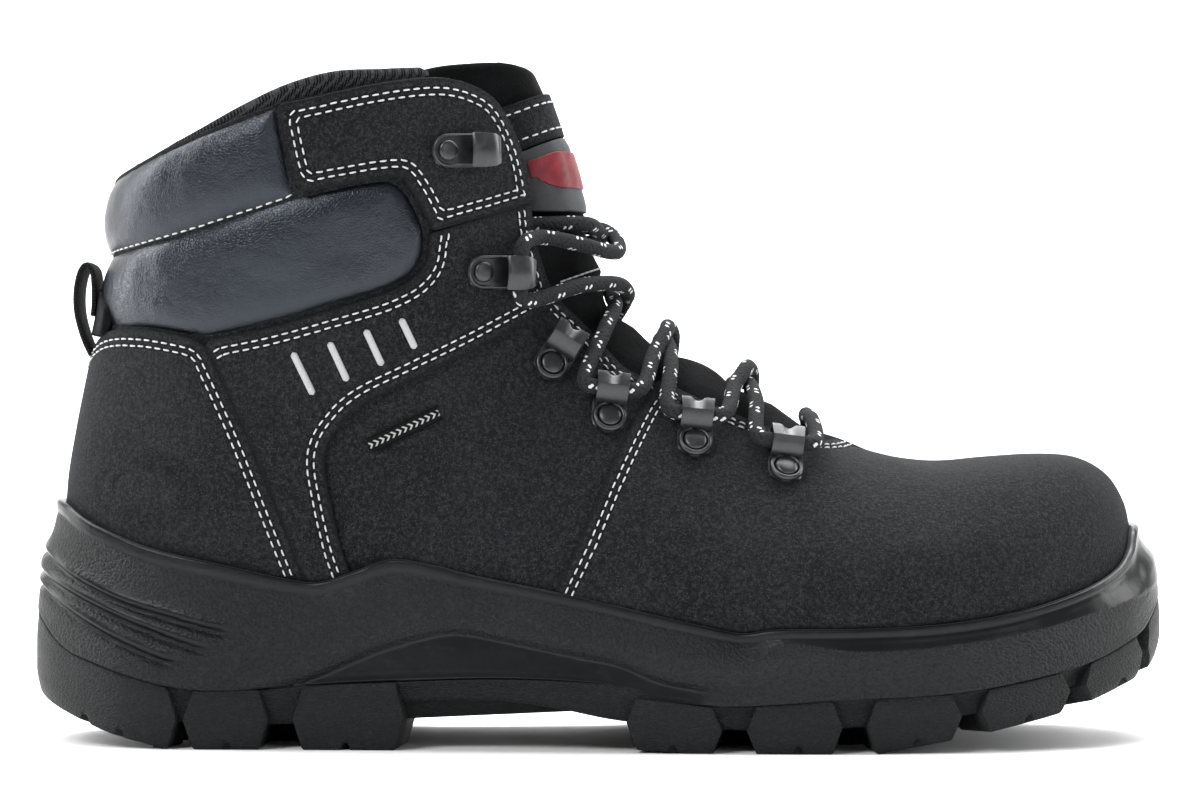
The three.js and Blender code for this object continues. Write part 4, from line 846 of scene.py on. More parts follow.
def gunmetal():
    nodes = Nodes("gunmetal", 0.3, metallic=0.35, specular=0.7, coat=0.3)
    wear = nodes.noise(2.5, 5, rough=0.7)
    color = nodes.mix(nodes.ramp(wear, 0.4, 0.75), grey(22, 5), grey(36, 7))
    scratches = nodes.noise(1, 3, source=nodes.stretched((600, 600, 3000)))
    return nodes.finish(color, nodes.bump(scratches, 0.04), nodes.ramp(wear, 0.3, 0.8, 0.3, 0.42))


def steel():
    nodes = Nodes("steel", 0.34, metallic=1.0)
    brushed = nodes.noise(1, 4, source=nodes.stretched((60, 2500, 2500)))
    color = nodes.mix(nodes.noise(14, 4), grey(150, 4), grey(188, 4))
    return nodes.finish(color, nodes.bump(brushed, 0.02), nodes.ramp(brushed, 0.3, 0.7, 0.28, 0.42))


def board():
    nodes = Nodes("board", 0.9, specular=0.2)
    fibre = nodes.noise(1, 5, source=nodes.stretched((300, 1100, 1100)))
    color = nodes.mix(nodes.ramp(fibre, 0.3, 0.7), tint(150, 132, 102), tint(186, 170, 138))
    return nodes.finish(color, nodes.bump(fibre, 0.08))


def lace_braid():
    """Round braid: dark yarn with pale flecks where the light carriers come over."""
    nodes = Nodes("lace", 0.8, specular=0.15, sheen=0.02)
    yarn = nodes.noise(0.3, 3)
    color = nodes.mix(nodes.ramp(yarn, 0.3, 0.7), grey(24, 3), grey(44, 4))
    # painted shade between the braid's strands, where the field braid is low
    color = nodes.mix(nodes.ramp(nodes.field("braid"), 0.1, 0.6, 0.85, 0), color, grey(8, 1))
    color = nodes.mix(nodes.ramp(nodes.field("fleck"), 0.45, 0.7), color, grey(205, 0))
    return nodes.finish(color, nodes.bump(yarn, 0.1))


def plastic():
    nodes = Nodes("plastic", 0.3, specular=0.5)
    flow = nodes.noise(3, 3)
    color = nodes.mix(nodes.ramp(flow, 0.3, 0.7), grey(18, 1), grey(28, 2))
    return nodes.finish(color, nodes.bump(flow, 0.05))


def badge_rubber():
    nodes = Nodes("badge", 0.55, specular=0.35)
    fine = nodes.noise(0.5, 2)
    color = nodes.mix(nodes.ramp(nodes.noise(6, 3), 0.3, 0.7), grey(46, 4), grey(56, 4))
    return nodes.finish(color, nodes.bump(fine, 0.05), nodes.ramp(fine, 0.3, 0.7, 0.48, 0.6))


def badge_red():
    nodes = Nodes("badge_red", 0.45, specular=0.4)
    fine = nodes.noise(0.5, 2)
    color = nodes.mix(nodes.ramp(nodes.noise(4, 3), 0.3, 0.7), tint(96, 12, 24), tint(116, 20, 32))
    return nodes.finish(color, nodes.bump(fine, 0.04))


def reflective():
    nodes = Nodes("reflective", 0.35, specular=0.6)
    beads = nodes.cells(0.25)
    color = nodes.mix(nodes.ramp(beads, 0.1, 0.6), grey(190), grey(160, 2))
    return nodes.finish(color, nodes.bump(beads, 0.05))


def webbing():
    """Herringbone webbing from its flat pattern."""
    nodes = Nodes("webbing", 0.85, specular=0.15, sheen=0.02)
    x, y = nodes.parts(nodes.pattern())
    zigzag = nodes.math("ADD", y, nodes.math("PINGPONG", x, 2.5))
    rib = nodes.math("PINGPONG", zigzag, 0.45)
    yarn = nodes.noise(0.3, 2)
    height = nodes.ramp(rib, 0.05, 0.4)
    # painted shade in the gaps between the herringbone ribs
    color = nodes.mix(height, grey(6), nodes.mix(nodes.ramp(yarn, 0.3, 0.7), grey(24, 2), grey(40, 3)))
    return nodes.finish(color, nodes.bump(height, 0.25))


def woven_tab():
    """A woven tab: fine black weave with a plain row of pale chevrons."""
    nodes = Nodes("woven_tab", 0.6, specular=0.12)
    x, y = nodes.parts(nodes.pattern())
    weave = nodes.math("ADD", nodes.math("PINGPONG", x, 0.25), nodes.math("PINGPONG", y, 0.25))
    bend = nodes.math("ABSOLUTE", nodes.math("SUBTRACT", y, 2.0))
    slanted = nodes.math("PINGPONG", nodes.math("ADD", x, bend), 0.85)
    row = nodes.math("MULTIPLY", nodes.ramp(bend, 0.8, 0.95, 1, 0), nodes.ramp(slanted, 0.46, 0.6))
    # painted shade, faint, between the threads of the weave
    color = nodes.mix(nodes.ramp(weave, 0.1, 0.4), grey(1), grey(4, 1))
    color = nodes.mix(row, color, grey(160))
    return nodes.finish(color, nodes.bump(weave, 0.15))


def thread():
    nodes = Nodes("thread", 0.7, specular=0.2)
    twist = nodes.noise(0.35, 3)
    color = nodes.mix(nodes.ramp(twist, 0.3, 0.7), grey(178, 3), grey(212, 1))
    return nodes.finish(color, nodes.bump(twist, 0.08))


def floor_paint():
    return Nodes("floor", 0.8, specular=0.2).finish((0.86, 0.86, 0.86))


MATERIALS = {
    "nubuck": nubuck(),
    "collar_leather": collar_leather(),
    "suede": suede(),
    "mesh_fabric": mesh_fabric(),
    "rubber": rubber("rubber", low=12, high=16, roughness=0.5, ribbing=2400),
    "midsole_foam": rubber("midsole_foam", low=12, high=18, roughness=0.46, ribbing=1300),
    "gunmetal": gunmetal(),
    "steel": steel(),
    "board": board(),
    "lace": lace_braid(),
    "plastic": plastic(),
    "badge": badge_rubber(),
    "badge_red": badge_red(),
    "reflective": reflective(),
    "webbing": webbing(),
    "woven_tab": woven_tab(),
    "thread": thread(),
    "floor": floor_paint(),
}


# ---------------------------------------------------------------- camera, stage and light
def camera():
    """Square on to the outer side, as the photograph is, through a long lens."""
    view_width, middle, height = 0.3384, 0.0001, 0.095
    lens, sensor = 120, 36
    data = bpy.data.cameras.new("camera")
    data.lens = lens
    data.sensor_width = sensor
    eye = bpy.data.objects.new("camera", data)
    eye.location = (middle, -view_width * lens / sensor, height)
    eye.rotation_euler = (math.pi / 2, 0, 0)
    bpy.context.scene.collection.objects.link(eye)
    bpy.context.scene.camera = eye


def light(name, place, size, power, target=(0, 0, 0.09)):
    data = bpy.data.lights.new(name, "AREA")
    data.shape = "RECTANGLE"
    data.size, data.size_y = size
    data.energy = power
    lamp = bpy.data.objects.new(name, data)
    lamp.location = place
    lamp.rotation_euler = (Vector(target) - Vector(place)).to_track_quat("-Z", "Y").to_euler()
    bpy.context.scene.collection.objects.link(lamp)


def studio():
    """A pale floor that curves up into a backdrop, soft light and a pale surround."""
    turn = np.linspace(0, math.pi / 2, 13)
    near, far, half_width, rise, radius = -3000, 1400, 4000, 2500, 900
    curve = [(far + radius * math.sin(a), radius * (1 - math.cos(a))) for a in turn]
    profile = [(near, 0)] + curve + [(far + radius, rise)]
    points = [(x, y, z) for y, z in profile for x in (-half_width, half_width)]
    faces = [[2 * i, 2 * i + 1, 2 * i + 3, 2 * i + 2] for i in range(len(profile) - 1)]
    put("floor", points, faces, "floor", None, slot="")
    light("key", (-0.9, -1.2, 1.3), (0.8, 0.8), 22)
    light("front", (0.9, -1.6, 0.6), (0.8, 0.8), 4)
    light("rim_heel", (-1.3, 0.3, 0.7), (0.4, 1.4), 20)
    light("rim_toe", (1.4, 0.2, 0.7), (0.4, 1.4), 16)
    light("top", (0, 0.25, 1.4), (1.6, 0.8), 30)
    light("backdrop", (0, 0.9, 1.9), (3.0, 0.8), 90, target=(0, 2.3, 0.4))
    world = bpy.data.worlds.new("surround")
    world.use_nodes = True
    surround = world.node_tree.nodes["Background"]
    surround.inputs["Color"].default_value = (1, 1, 1, 1)
    surround.inputs["Strength"].default_value = 0.3
    scene = bpy.context.scene
    scene.world = world
    scene.view_settings.view_transform = "Standard"
    scene.view_settings.look = "None"


# ---------------------------------------------------------------- lace
def across_line(points):
    """Two directions across a line at each of its points, that don't twist."""
    along = unit(np.gradient(points, axis=0))
    first = np.cross(along[0], (0, 0, 1.0))
    sideways = [first / np.linalg.norm(first)]
    for way in along[1:]:
        turned = sideways[-1] - way * np.dot(sideways[-1], way)
        sideways.append(turned / np.linalg.norm(turned))
    sideways = np.array(sideways)
    return sideways, np.cross(along, sideways)


def tube(points, radius, sides, relief=0.0):
    """A closed tube round a line; relief gives how far each point stands out."""
    sideways, upwards = across_line(points)
    turn = 2 * np.pi * np.arange(sides) / sides
    radii = np.broadcast_to(radius + relief, (len(points), sides))
    ring = sideways[:, None] * np.cos(turn)[:, None] + upwards[:, None] * np.sin(turn)[:, None]
    rings = points[:, None] + ring * radii[:, :, None]
    return rings.reshape(-1, 3), capped_faces(len(points), sides)


def lace():
    """The braided lace, whole from tip to tip, and its two moulded tips."""
    route = centripetal(LACE_ROUTE, 10)
    line = resampled(route, LACE_STEP)
    sides = 30
    along = np.arange(len(line))[:, None] * LACE_STEP / BRAID_PITCH
    round_about = np.arange(sides)[None, :] / sides
    right = (round_about + along) * BRAID_CARRIERS
    left = (round_about - along) * BRAID_CARRIERS
    over = np.cos(math.pi * right) * np.cos(math.pi * left)
    strand = np.where(over > 0, np.abs(np.cos(math.pi * right)), np.abs(np.cos(math.pi * left)))
    cell = np.round(right) % BRAID_CARRIERS * BRAID_CARRIERS + np.round(left) % BRAID_CARRIERS
    fleck = np.where(np.isin(cell, FLECK_CELLS), strand, 0)
    points, faces = tube(line, LACE_RADIUS - 0.14, sides, 0.28 * strand - 0.1)
    cord = put("lace_braid", points, faces, "lace", "boot", replaces=["lace"],
               braid=strand.ravel(), fleck=fleck.ravel())
    for word, end, inner in (("lateral", 0, 1), ("medial", -1, -2)):
        out = unit(route[end] - route[inner])
        start = route[end] - out * 1.5
        at = np.array([0, 0.6, 1.0, 8, 15.6, 16.8, 17.2])
        shape = np.array([0.9, 1.14, 1.0, 0.96, 0.95, 0.75, 0.3])[:, None] * np.ones(16) - 1
        points, faces = tube(start + out * at[:, None], TIP_RADIUS, 16, TIP_RADIUS * shape)
        put(f"lace_end_{word}", points, faces, "plastic", "boot", replaces=[f"lace_tip_{word}"])


# ---------------------------------------------------------------- regions of the side view
feather = height_of(FEATHER_LINE)
welt = height_of(WELT_LINE)
tread = height_of(TREAD_LINE)
groove_height = height_of(GROOVE_LINE)


def opening_outline(back):
    """The throat's opening, its line moved backwards by some amount."""
    line = smooth(THROAT_LINE)
    way = unit(np.gradient(line, axis=0))
    moved = line + np.stack([way[:, 1], -way[:, 0]], axis=1) * back
    return np.vstack([moved, [(90, 92), (90, SKY), (moved[0, 0], SKY)]])


def below_line(line):
    """An outline of all that lies below a line."""
    curve = smooth(line)
    return np.vstack([[(-175, -20), (175, -20), (175, curve[-1, 1])], curve[::-1], [(-175, curve[0, 1])]])


def ahead_of_seam():
    """An outline of all that lies in front of the vamp's seam."""
    seam = smooth(VAMP_SEAM)
    return np.vstack([seam, [(-20, -10), (200, -10), (200, SKY), (22, SKY)]])


x_upper, y_upper, z_upper = upper.points.T
opening = inside(upper.side, opening_outline(0))
below_collar = inside(upper.side, below_line(COLLAR_LINE))
pad_upper_value = inside(upper.side, outline_of(PAD_UPPER_OUTLINE))
pad_lower_value = inside(upper.side, outline_of(PAD_LOWER_OUTLINE))
above_sole = z_upper - (feather(x_upper) - 7)
ahead = inside(upper.side, ahead_of_seam())
counter_value = inside(upper.side, outline_of(COUNTER_OUTLINE))
ankle_value = inside(upper.side, outline_of(ANKLE_OUTLINE))
flap_value = inside(upper.side, outline_of(FLAP_OUTLINE))
leather_value = np.minimum.reduce(
    [-opening, below_collar, 1.5 - pad_upper_value, 1.5 - pad_lower_value, above_sole])


# ---------------------------------------------------------------- upper leather
def flex_of(points):
    """How much the leather creases in wear: round the ball of the foot and in front of the ankle."""
    x, _, z = points.T
    ball = np.exp(-(((x - 52) / 30) ** 2)) * ease(z, 45, 75)
    ankle = np.exp(-(((x + 15) / 28) ** 2)) * np.exp(-(((z - 95) / 30) ** 2))
    return np.clip(ball + 0.8 * ankle, 0, 1)


def leather_fields(panel, seams):
    """What the nubuck's material needs to know: the distance to the sewn seams and the creasing."""
    seam = panel.seam_distance(seams) if seams else np.full(len(panel.points), NO_SEAM)
    return {"seam": seam, "flex": flex_of(panel.points)}


def ripple(panel, depth):
    """Gentle unevenness of real leather, in mm."""
    return depth * (noise(panel.points, 17) + 0.5 * noise(panel.points, 7, 3))


def sewn(points):
    """Where stitches show: above the sole."""
    return points[:, 2] > feather(points[:, 0]) + 0.5


def vamp():
    """The leather over the toe and forefoot, its back edge lapping over the quarters."""
    panel = Panel(upper, np.minimum(leather_value, ahead))
    fields = leather_fields(panel, [THROAT_LINE, VAMP_SEAM])
    lap = panel.seam_distance([VAMP_SEAM])
    outer = 1.1 * np.exp(-((lap / 14) ** 2)) + ripple(panel, 0.16) * ease(panel.edge, 0, 6)
    shell("vamp_leather", panel, LEATHER + 0.4, outer, "nubuck", bulge=0.45, replaces=["vamp"], fields=fields)
    stitches("vamp_stitches", panel, fields["seam"], STITCH_ROWS, keep=sewn)


def quarter(word, side):
    """The leather behind the vamp on one side, running in under the vamp's edge."""
    value = np.minimum.reduce([leather_value, -ahead + 6, side * y_upper + 1.0])
    panel = Panel(upper, value)
    fields = leather_fields(panel, [THROAT_LINE])
    outer = -0.15 + ripple(panel, 0.16) * ease(panel.edge, 0, 6)
    shell(f"quarter_{word}_leather", panel, LEATHER + 0.3, outer, "nubuck", bulge=0.45,
          replaces=[f"quarter_{word}"], fields=fields)
    stitches(f"quarter_stitches_{word}", panel, fields["seam"], STITCH_ROWS,
             keep=lambda points: (points[:, 2] < 121) & (inside(points[:, [0, 2]], ahead_of_seam()) < -1))


def overlay(name, value, seams, replaced, height=OVERLAY, pressed=None):
    """A leather panel sewn over the upper."""
    panel = Panel(upper, value - 0.3)
    fields = leather_fields(panel, seams)
    outer = height - 0.25 + 0.25 * ease(panel.edge, 0.3, 3.5) + ripple(panel, 0.14) * ease(panel.edge, 0, 6)
    if pressed:
        outer = outer - 0.55 * pressed(panel.points)
    shell(name, panel, 0.15, outer, "nubuck", bulge=0.4, replaces=[replaced], fields=fields)
    return panel, fields


def pressed_oval(points):
    """A plain double oval on each side of the heel, from 0 to 1."""
    x, _, z = points.T
    away = np.hypot((x + 122.5) / 14, (z - 70) / 9.5)
    return np.clip(np.exp(-(((away - 1) / 0.09) ** 2)) + np.exp(-(((away - 0.72) / 0.07) ** 2)), 0, 1)


def heel_counter():
    """The leather sewn round the heel, with its pressed ovals."""
    value = np.minimum.reduce([counter_value, below_collar, above_sole])
    panel, fields = overlay("heel_counter_leather", value, [COUNTER_TOP, COUNTER_FRONT], "heel_counter",
                            pressed=pressed_oval)
    stitches("counter_stitches", panel, fields["seam"], STITCH_ROWS, keep=sewn)


def ankle_overlay(word, side):
    """The leather that runs from the ankle's hooks down to the waist of the sole."""
    value = np.minimum.reduce([ankle_value, below_collar, -opening, above_sole, side * y_upper - 5])
    panel, fields = overlay(f"ankle_overlay_{word}_leather", value, [ANKLE_TOP, ANKLE_THROAT, ANKLE_FRONT],
                            f"ankle_overlay_{word}")
    stitches(f"ankle_stitches_{word}", panel, fields["seam"], STITCH_ROWS, keep=sewn)


def lace_flap(word, side):
    """The leather round the top hook, in front of the collar's pads."""
    value = np.minimum.reduce([flap_value, below_collar + 0.4, side * y_upper - 5])
    panel, fields = overlay(f"lace_flap_{word}_leather", value, FLAP_OUTLINE, f"lace_flap_{word}",
                            height=OVERLAY + 0.5)
    stitches(f"flap_stitches_{word}", panel, fields["seam"], STITCH_ROWS)


def backstay():
    """The small patch at the back that the pull loop comes out of."""
    half_width = 16
    value = inside(upper.side, outline_of(BACKSTAY_OUTLINE))
    panel = Panel(upper, np.minimum(value, half_width - np.abs(y_upper)))
    shell("backstay_leather", panel, 0.3, 3.2, "nubuck", bulge=0.5, replaces=["backstay"],
          fields=leather_fields(panel, []))


# ---------------------------------------------------------------- padded collar
PAD_GROWTH = 1.6  # most that the simulation may move a point


def inflate(pieces, firmness):
    """Blows up padded pieces with a short cloth simulation; their field pinned holds the sewn edges."""
    scene = bpy.context.scene
    last_frame = 20
    started = {}
    for piece in pieces:
        group = piece.vertex_groups.new(name="pinned")
        held = np.zeros(len(piece.data.vertices), np.float32)
        piece.data.attributes["pinned"].data.foreach_get("value", held)
        for level in np.unique(held.round(1)):
            group.add(np.flatnonzero(held.round(1) == level).tolist(), float(level), "REPLACE")
        started[piece.name] = coordinates(piece)
        cloth = piece.modifiers.new("cloth", "CLOTH")
        cloth.settings.quality = 6
        cloth.settings.mass = 0.2
        cloth.settings.use_pressure = True
        cloth.settings.uniform_pressure_force = firmness
        cloth.settings.vertex_group_mass = "pinned"
        cloth.settings.shrink_min = -0.004
        cloth.settings.bending_stiffness = 8
        cloth.settings.effector_weights.gravity = 0
        cloth.collision_settings.use_collision = False
        cloth.point_cache.frame_start = 1
        cloth.point_cache.frame_end = last_frame
    for step in range(1, last_frame + 1):
        scene.frame_set(step)
    for piece in pieces:
        solved = piece.evaluated_get(bpy.context.evaluated_depsgraph_get())
        moved = evened(piece, coordinates(solved) - started[piece.name], rounds=24)
        far = np.linalg.norm(moved, axis=1, keepdims=True)
        limit = PAD_GROWTH * MM
        moved *= np.where(far > 0, limit * np.tanh(far / limit) / np.maximum(far, 1e-12), 0)
        piece.modifiers.remove(piece.modifiers["cloth"])
        piece.data.vertices.foreach_set("co", (started[piece.name] + moved).ravel())
        piece.data.update()
    scene.frame_set(1)


def evened(piece, moved, rounds):
    """Movements of a mesh's points, averaged with their neighbours' a number of times."""
    ends = np.zeros(len(piece.data.edges) * 2, int)
    piece.data.edges.foreach_get("vertices", ends)
    starts, stops = ends[0::2], ends[1::2]
    neighbours = np.bincount(ends, minlength=len(moved))[:, None]
    for _ in range(rounds):
        total = np.zeros_like(moved)
        np.add.at(total, starts, moved[stops])
        np.add.at(total, stops, moved[starts])
        moved = 0.5 * (moved + total / neighbours)
    return moved


def coordinates(piece):
    points = np.zeros(len(piece.data.vertices) * 3)
    piece.data.vertices.foreach_get("co", points)
    return points.reshape(-1, 3)


def collar_pad(name, value, node, crown):
    """A foam pad: crowned, drawn in along its seams."""
    panel = Panel(upper, value)
    rise = 1 - np.exp(-panel.edge / 3.2)
    pleats = noise(panel.points, 6, 5) * ease(panel.edge, 0.5, 4) * (1 - ease(panel.edge, 6, 14))
    outer = -1.1 + (crown + 1.1) * rise + 0.18 * pleats + 0.2 * noise(panel.points, 22, 1) * rise
    held = 1 - ease(panel.edge, 0.8, 2.4)
    piece = shell(name, panel, -4.0, outer, "collar_leather", bulge=0.3, replaces=[node],
                  fields={"pinned": held})
    pinned = np.zeros(len(piece.data.vertices), np.float32)
    piece.data.attributes["pinned"].data.foreach_get("value", pinned)
    pinned[len(panel.points):] = 1
    piece.data.attributes["pinned"].data.foreach_set("value", pinned)
    return piece, panel


def collar():
    """The two pads round the ankle with the seam between them."""
    above = np.minimum(pad_upper_value, below_collar)
    pad_high, panel_high = collar_pad("collar_pad_top", above + 0.2, "collar_pad_upper", crown=2.6)
    pad_low, _ = collar_pad("collar_pad_bottom", pad_lower_value + 0.9, "collar_pad_lower", crown=2.3)
    stitches("pad_stitches", panel_high, panel_high.seam_distance([PAD_SEAM]), [1.3], margin=0.5)
    inflate([pad_high, pad_low], firmness=2.5)


def lining():
    """Spacer mesh with foam: thin inside the boot, rolled into a soft edge at the collar."""
    coarse = upper_surface(ROWS // 2, COLUMNS // 2)
    below_top = inside(coarse.side, below_line(LINING_LINE))
    opened = inside(coarse.side, opening_outline(16))
    panel = Panel(coarse, np.minimum(below_top, -opened) - 1.5)
    top = panel.distance(panel.points[(panel.edge < 0.1) & (panel.points[:, 2] > 140)])
    roll = np.exp(-((top / 7.5) ** 2))
    puff = 0.3 * noise(panel.points, 12, 2)
    outer = LINING[1] + (3.4 + puff) * roll
    inner = LINING[0] - 0.8 * roll
    shell("lining_mesh", panel, inner, outer, "mesh_fabric", bulge=1.9, replaces=["lining"])


FOOTBED_TOP = [
    (-137, 47), (-118, 43), (-87, 41.5), (-56, 40.5), (-25, 38.6), (3, 36.4), (28, 34.8), (51, 34.4),
    (70, 35), (90, 37), (107, 39.6), (121, 42), (134, 44.8),
]


def footbed():
    """The loose insole: follows the inside of the lining, with a slightly raised rim."""
    top = height_of(FOOTBED_TOP)
    room = upper.points + upper.normals * (LINING[0] - 0.9)
    tree = BVHTree.FromPolygons(room.tolist(), upper.faces.tolist())

    def met(start, way):
        return tree.ray_cast(Vector(start), Vector(way))[0]

    stations, half_length = 110, 132
    across = np.linspace(-1, 1, 41)
    upper_rows, lower_rows = [], []
    for x in np.linspace(-half_length, half_length, stations):
        z = float(top(x))
        ends = [met((x, 0, z), (0, way, 0)).y for way in (LATERAL, MEDIAL)]
        y = ends[0] + (ends[1] - ends[0]) * (across + 1) / 2
        floor = np.array([met((x, place * 0.98, z), (0, 0, -1)).z for place in y])
        cup = 1.2 * np.abs(across) ** 6 - 1.2
        upper_rows.append(np.stack([np.full_like(y, x), y, z + cup], axis=1))
        lower_rows.append(np.stack([np.full_like(y, x), y * 0.985, np.minimum(floor, z + cup - 1.0)], axis=1))
    points, faces = slab(np.array(upper_rows), np.array(lower_rows))
    put("insole_cushion", points, faces, "mesh_fabric", "footbed", replaces=["footbed"], uv=points[:, [0, 1]])


def slab(upper_grid, lower_grid):
    """A closed body between two lattices of the same size, the first facing up."""
    rows, columns = upper_grid.shape[:2]
    count = rows * columns
    index = np.arange(count).reshape(rows, columns)
    a, b, c, d = index[:-1, :-1], index[:-1, 1:], index[1:, 1:], index[1:, :-1]
    top = np.stack([a, d, c, b], axis=-1).reshape(-1, 4)
    faces = top.tolist() + (top[:, ::-1] + count).tolist()
    ring = np.concatenate([index[0, :-1], index[:-1, -1], index[-1, :0:-1], index[:0:-1, 0]])
    following = np.roll(ring, -1)
    faces += np.stack([ring, following, following + count, ring + count], axis=1).tolist()
    return np.concatenate([upper_grid.reshape(-1, 3), lower_grid.reshape(-1, 3)]), faces


# ---------------------------------------------------------------- tongue
TONGUE_FROM, TONGUE_TO = 7.6 / 25, 24.0 / 25  # where along the upper the tongue starts and ends
FLAP_HALF = 18.9  # half the width of the tongue's folding top
LEG = 52  # from the tongue's middle round to the back edge of its folding top
HEM = (130.0, 0.39)  # the lower edge of the tongue's cover: its height at x = 0 and its slope
TONGUE_TOP = [(-60, 182), (-47, 186), (-36, 187.3), (-25, 187.5), (-17, 186.2), (-8, 180)]


def tongue_surface():
    """The tongue's face: over the instep like the upper, then square round the shin."""
    spacing = 1.25
    u = np.linspace(TONGUE_FROM, TONGUE_TO, 400)
    front = spline(SECTIONS, u)[:, :2]
    length = np.concatenate([[0], np.cumsum(np.linalg.norm(np.diff(front, axis=0), axis=1))])
    rows = int(length[-1] / spacing)
    u = np.interp(np.linspace(0, length[-1], rows), length, u)
    turn = np.linspace(0, 0.25, 90)
    half_columns = int(LEG / spacing)
    steps = np.linspace(0, LEG, half_columns + 1)
    level = np.array([-1, 0, -0.12])
    lattice = np.zeros((rows, 2 * half_columns + 1, 3))
    for row, share in enumerate(u):
        ring = upper_points(np.full(len(turn), share), turn)
        keys = spline(SECTIONS, np.array([share]))[0]
        start = np.array([keys[0], keys[5], keys[1]])
        back = unit(np.array([keys[2] - keys[0], 0, keys[3] - keys[1]]))
        wide = start[1] - ring[:, 1]
        deep = (ring - start) @ back
        upright = ease(start[2], 138, 150)
        limit = 60 * (1 - upright) + FLAP_HALF * upright
        narrow = 1 - ease(wide, limit - 12, limit + 1)
        piece = np.hypot(np.diff(wide), np.diff(deep))
        step_wide = np.diff(wide) * np.minimum(narrow[:-1], 1)
        step_deep = np.sqrt(np.maximum(piece**2 - step_wide**2, 0))
        gone = np.concatenate([[0], piece.cumsum()])
        wide = np.interp(steps, gone, np.concatenate([[0], step_wide.cumsum()]))
        deep = np.interp(steps, gone, np.concatenate([[0], step_deep.cumsum()]))
        levelled = ease(start[2], 150, 176)
        way = unit(back * (1 - levelled) + level * levelled)
        for side in (LATERAL, MEDIAL):
            columns = half_columns - side * np.arange(half_columns + 1)
            lattice[row, columns] = start + np.outer(deep, way) + np.outer(wide * side, (0, 1, 0))
    return Surface(lattice, closed=False)


def tongue():
    """The padded tongue with its folding top, sunk between the crossings of the lace."""
    surface = tongue_surface()
    x, _, z = surface.points.T
    across = np.abs(surface.uv[:, 0])
    upright = ease(z + 0.15 * across, 146, 158)
    wing = 27.5 - 9 * ease(x, 40, 66)
    reach = wing * (1 - upright) + (LEG - 4) * upright
    front_edge = 0.4 * (8 + 0.02 * across**2)
    below_top = inside(surface.side, below_line(TONGUE_TOP))
    panel = Panel(surface, np.minimum.reduce([reach - across, surface.uv[:, 1] - front_edge, below_top]))
    across = np.abs(panel.uv[:, 0])
    x, _, z = panel.points.T
    crests = np.min([np.hypot(x - cx, z - cz) for cx, cz in CREST_SPOTS], axis=0)
    swell = (1 - np.exp(-((crests / 6.5) ** 2))) * np.exp(-((across / 13) ** 2)) * (1 - ease(z, 150, 160))
    flap = ease(z, 144, 154)
    soft = 0.5 * noise(panel.points, 15, 4) + 0.25 * noise(panel.points, 7, 6)
    face = CROWN * (1 - flap) + FLAP_FACE * flap
    tucked = ease(across, 14, 22) * (1 - flap)
    above_hem = z - HEM[0] - HEM[1] * x
    hem = 0.8 * ease(above_hem, -0.6, 0.4) * (1 - ease(above_hem, 8, 20)) * (1 - ease(across, 13, 17))
    outer = face + 1.7 * swell + (soft - 0.2) * (1 - tucked) * ease(crests, 2, 7) - 1.0 * tucked + hem
    under_trim = np.exp(-((across / 22) ** 4)) * ease(z, 147, 151) * (1 - ease(z, 181, 185))
    outer = outer * (1 - under_trim) + (FLAP_FACE - 0.1) * under_trim
    piece = shell("tongue_padded", panel, face - TONGUE, outer, "suede", body=None, bulge=1.7,
                  replaces=["tongue", "tongue_flap"])
    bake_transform(piece)
    stitches("tongue_hem_stitches", panel, above_hem, [2.0],
             keep=lambda points: np.abs(points[:, 1]) < 15)
    return surface


PATCH_EDGES = ([(-40, 157.6), (-4, 172.1)], [(-8, 183.0), (-40, 171.2)])
BADGE_LINE = [(-30, 148.0), (5, 148.0), (5, 170.7), (-7, 169.5), (-30, 160.3)]


def tongue_trim(surface):
    """The leather patch, the rubber badge and its plain ribbed emblem on the tongue's folding top."""
    _, y, z = surface.points.T
    across = np.abs(surface.uv[:, 0])
    patch = inside(surface.side, np.vstack(PATCH_EDGES))
    panel = Panel(surface, np.minimum.reduce([patch, 18.0 - np.abs(y), 24 - across]))
    fields = {"seam": np.full(len(panel.points), NO_SEAM), "flex": np.zeros(len(panel.points))}
    outer = FLAP_FACE + 1.5 + 0.1 * noise(panel.points, 9, 2)
    shell("tongue_patch_leather", panel, FLAP_FACE + 0.1, outer, "nubuck", "tongue_flap", bulge=0.4,
          replaces=["tongue_patch"], fields=fields)
    rows = panel.seam_distance(PATCH_EDGES)
    stitches("patch_stitches", panel, rows, [2.2], body="tongue_flap", margin=1.0)
    panel = Panel(surface, np.minimum(inside(surface.side, BADGE_LINE), 22.5 - across))
    dome = 0.4 * ease(panel.edge, 0, 2)
    shell("tongue_badge_rubber", panel, FLAP_FACE + 0.1, FLAP_FACE + 1.5 + dome, "badge", "tongue_flap",
          bulge=0.5, replaces=["tongue_badge"])
    ends = np.hypot(np.maximum(np.abs(y) - 11, 0), np.maximum(np.abs(z - 159.0) - 2.2, 0))
    emblem = Panel(surface, 2.6 - ends)
    rib_phase = (emblem.points[:, 2] + 0.6 * emblem.points[:, 1]) / 2.6
    ribs = 0.35 * np.abs(np.sin(math.pi * rib_phase)) ** 0.5
    shell("badge_emblem", emblem, FLAP_FACE + 1.5, FLAP_FACE + 2.2 + ribs, "badge_red", "tongue_flap",
          bulge=0.25, slot="badge")


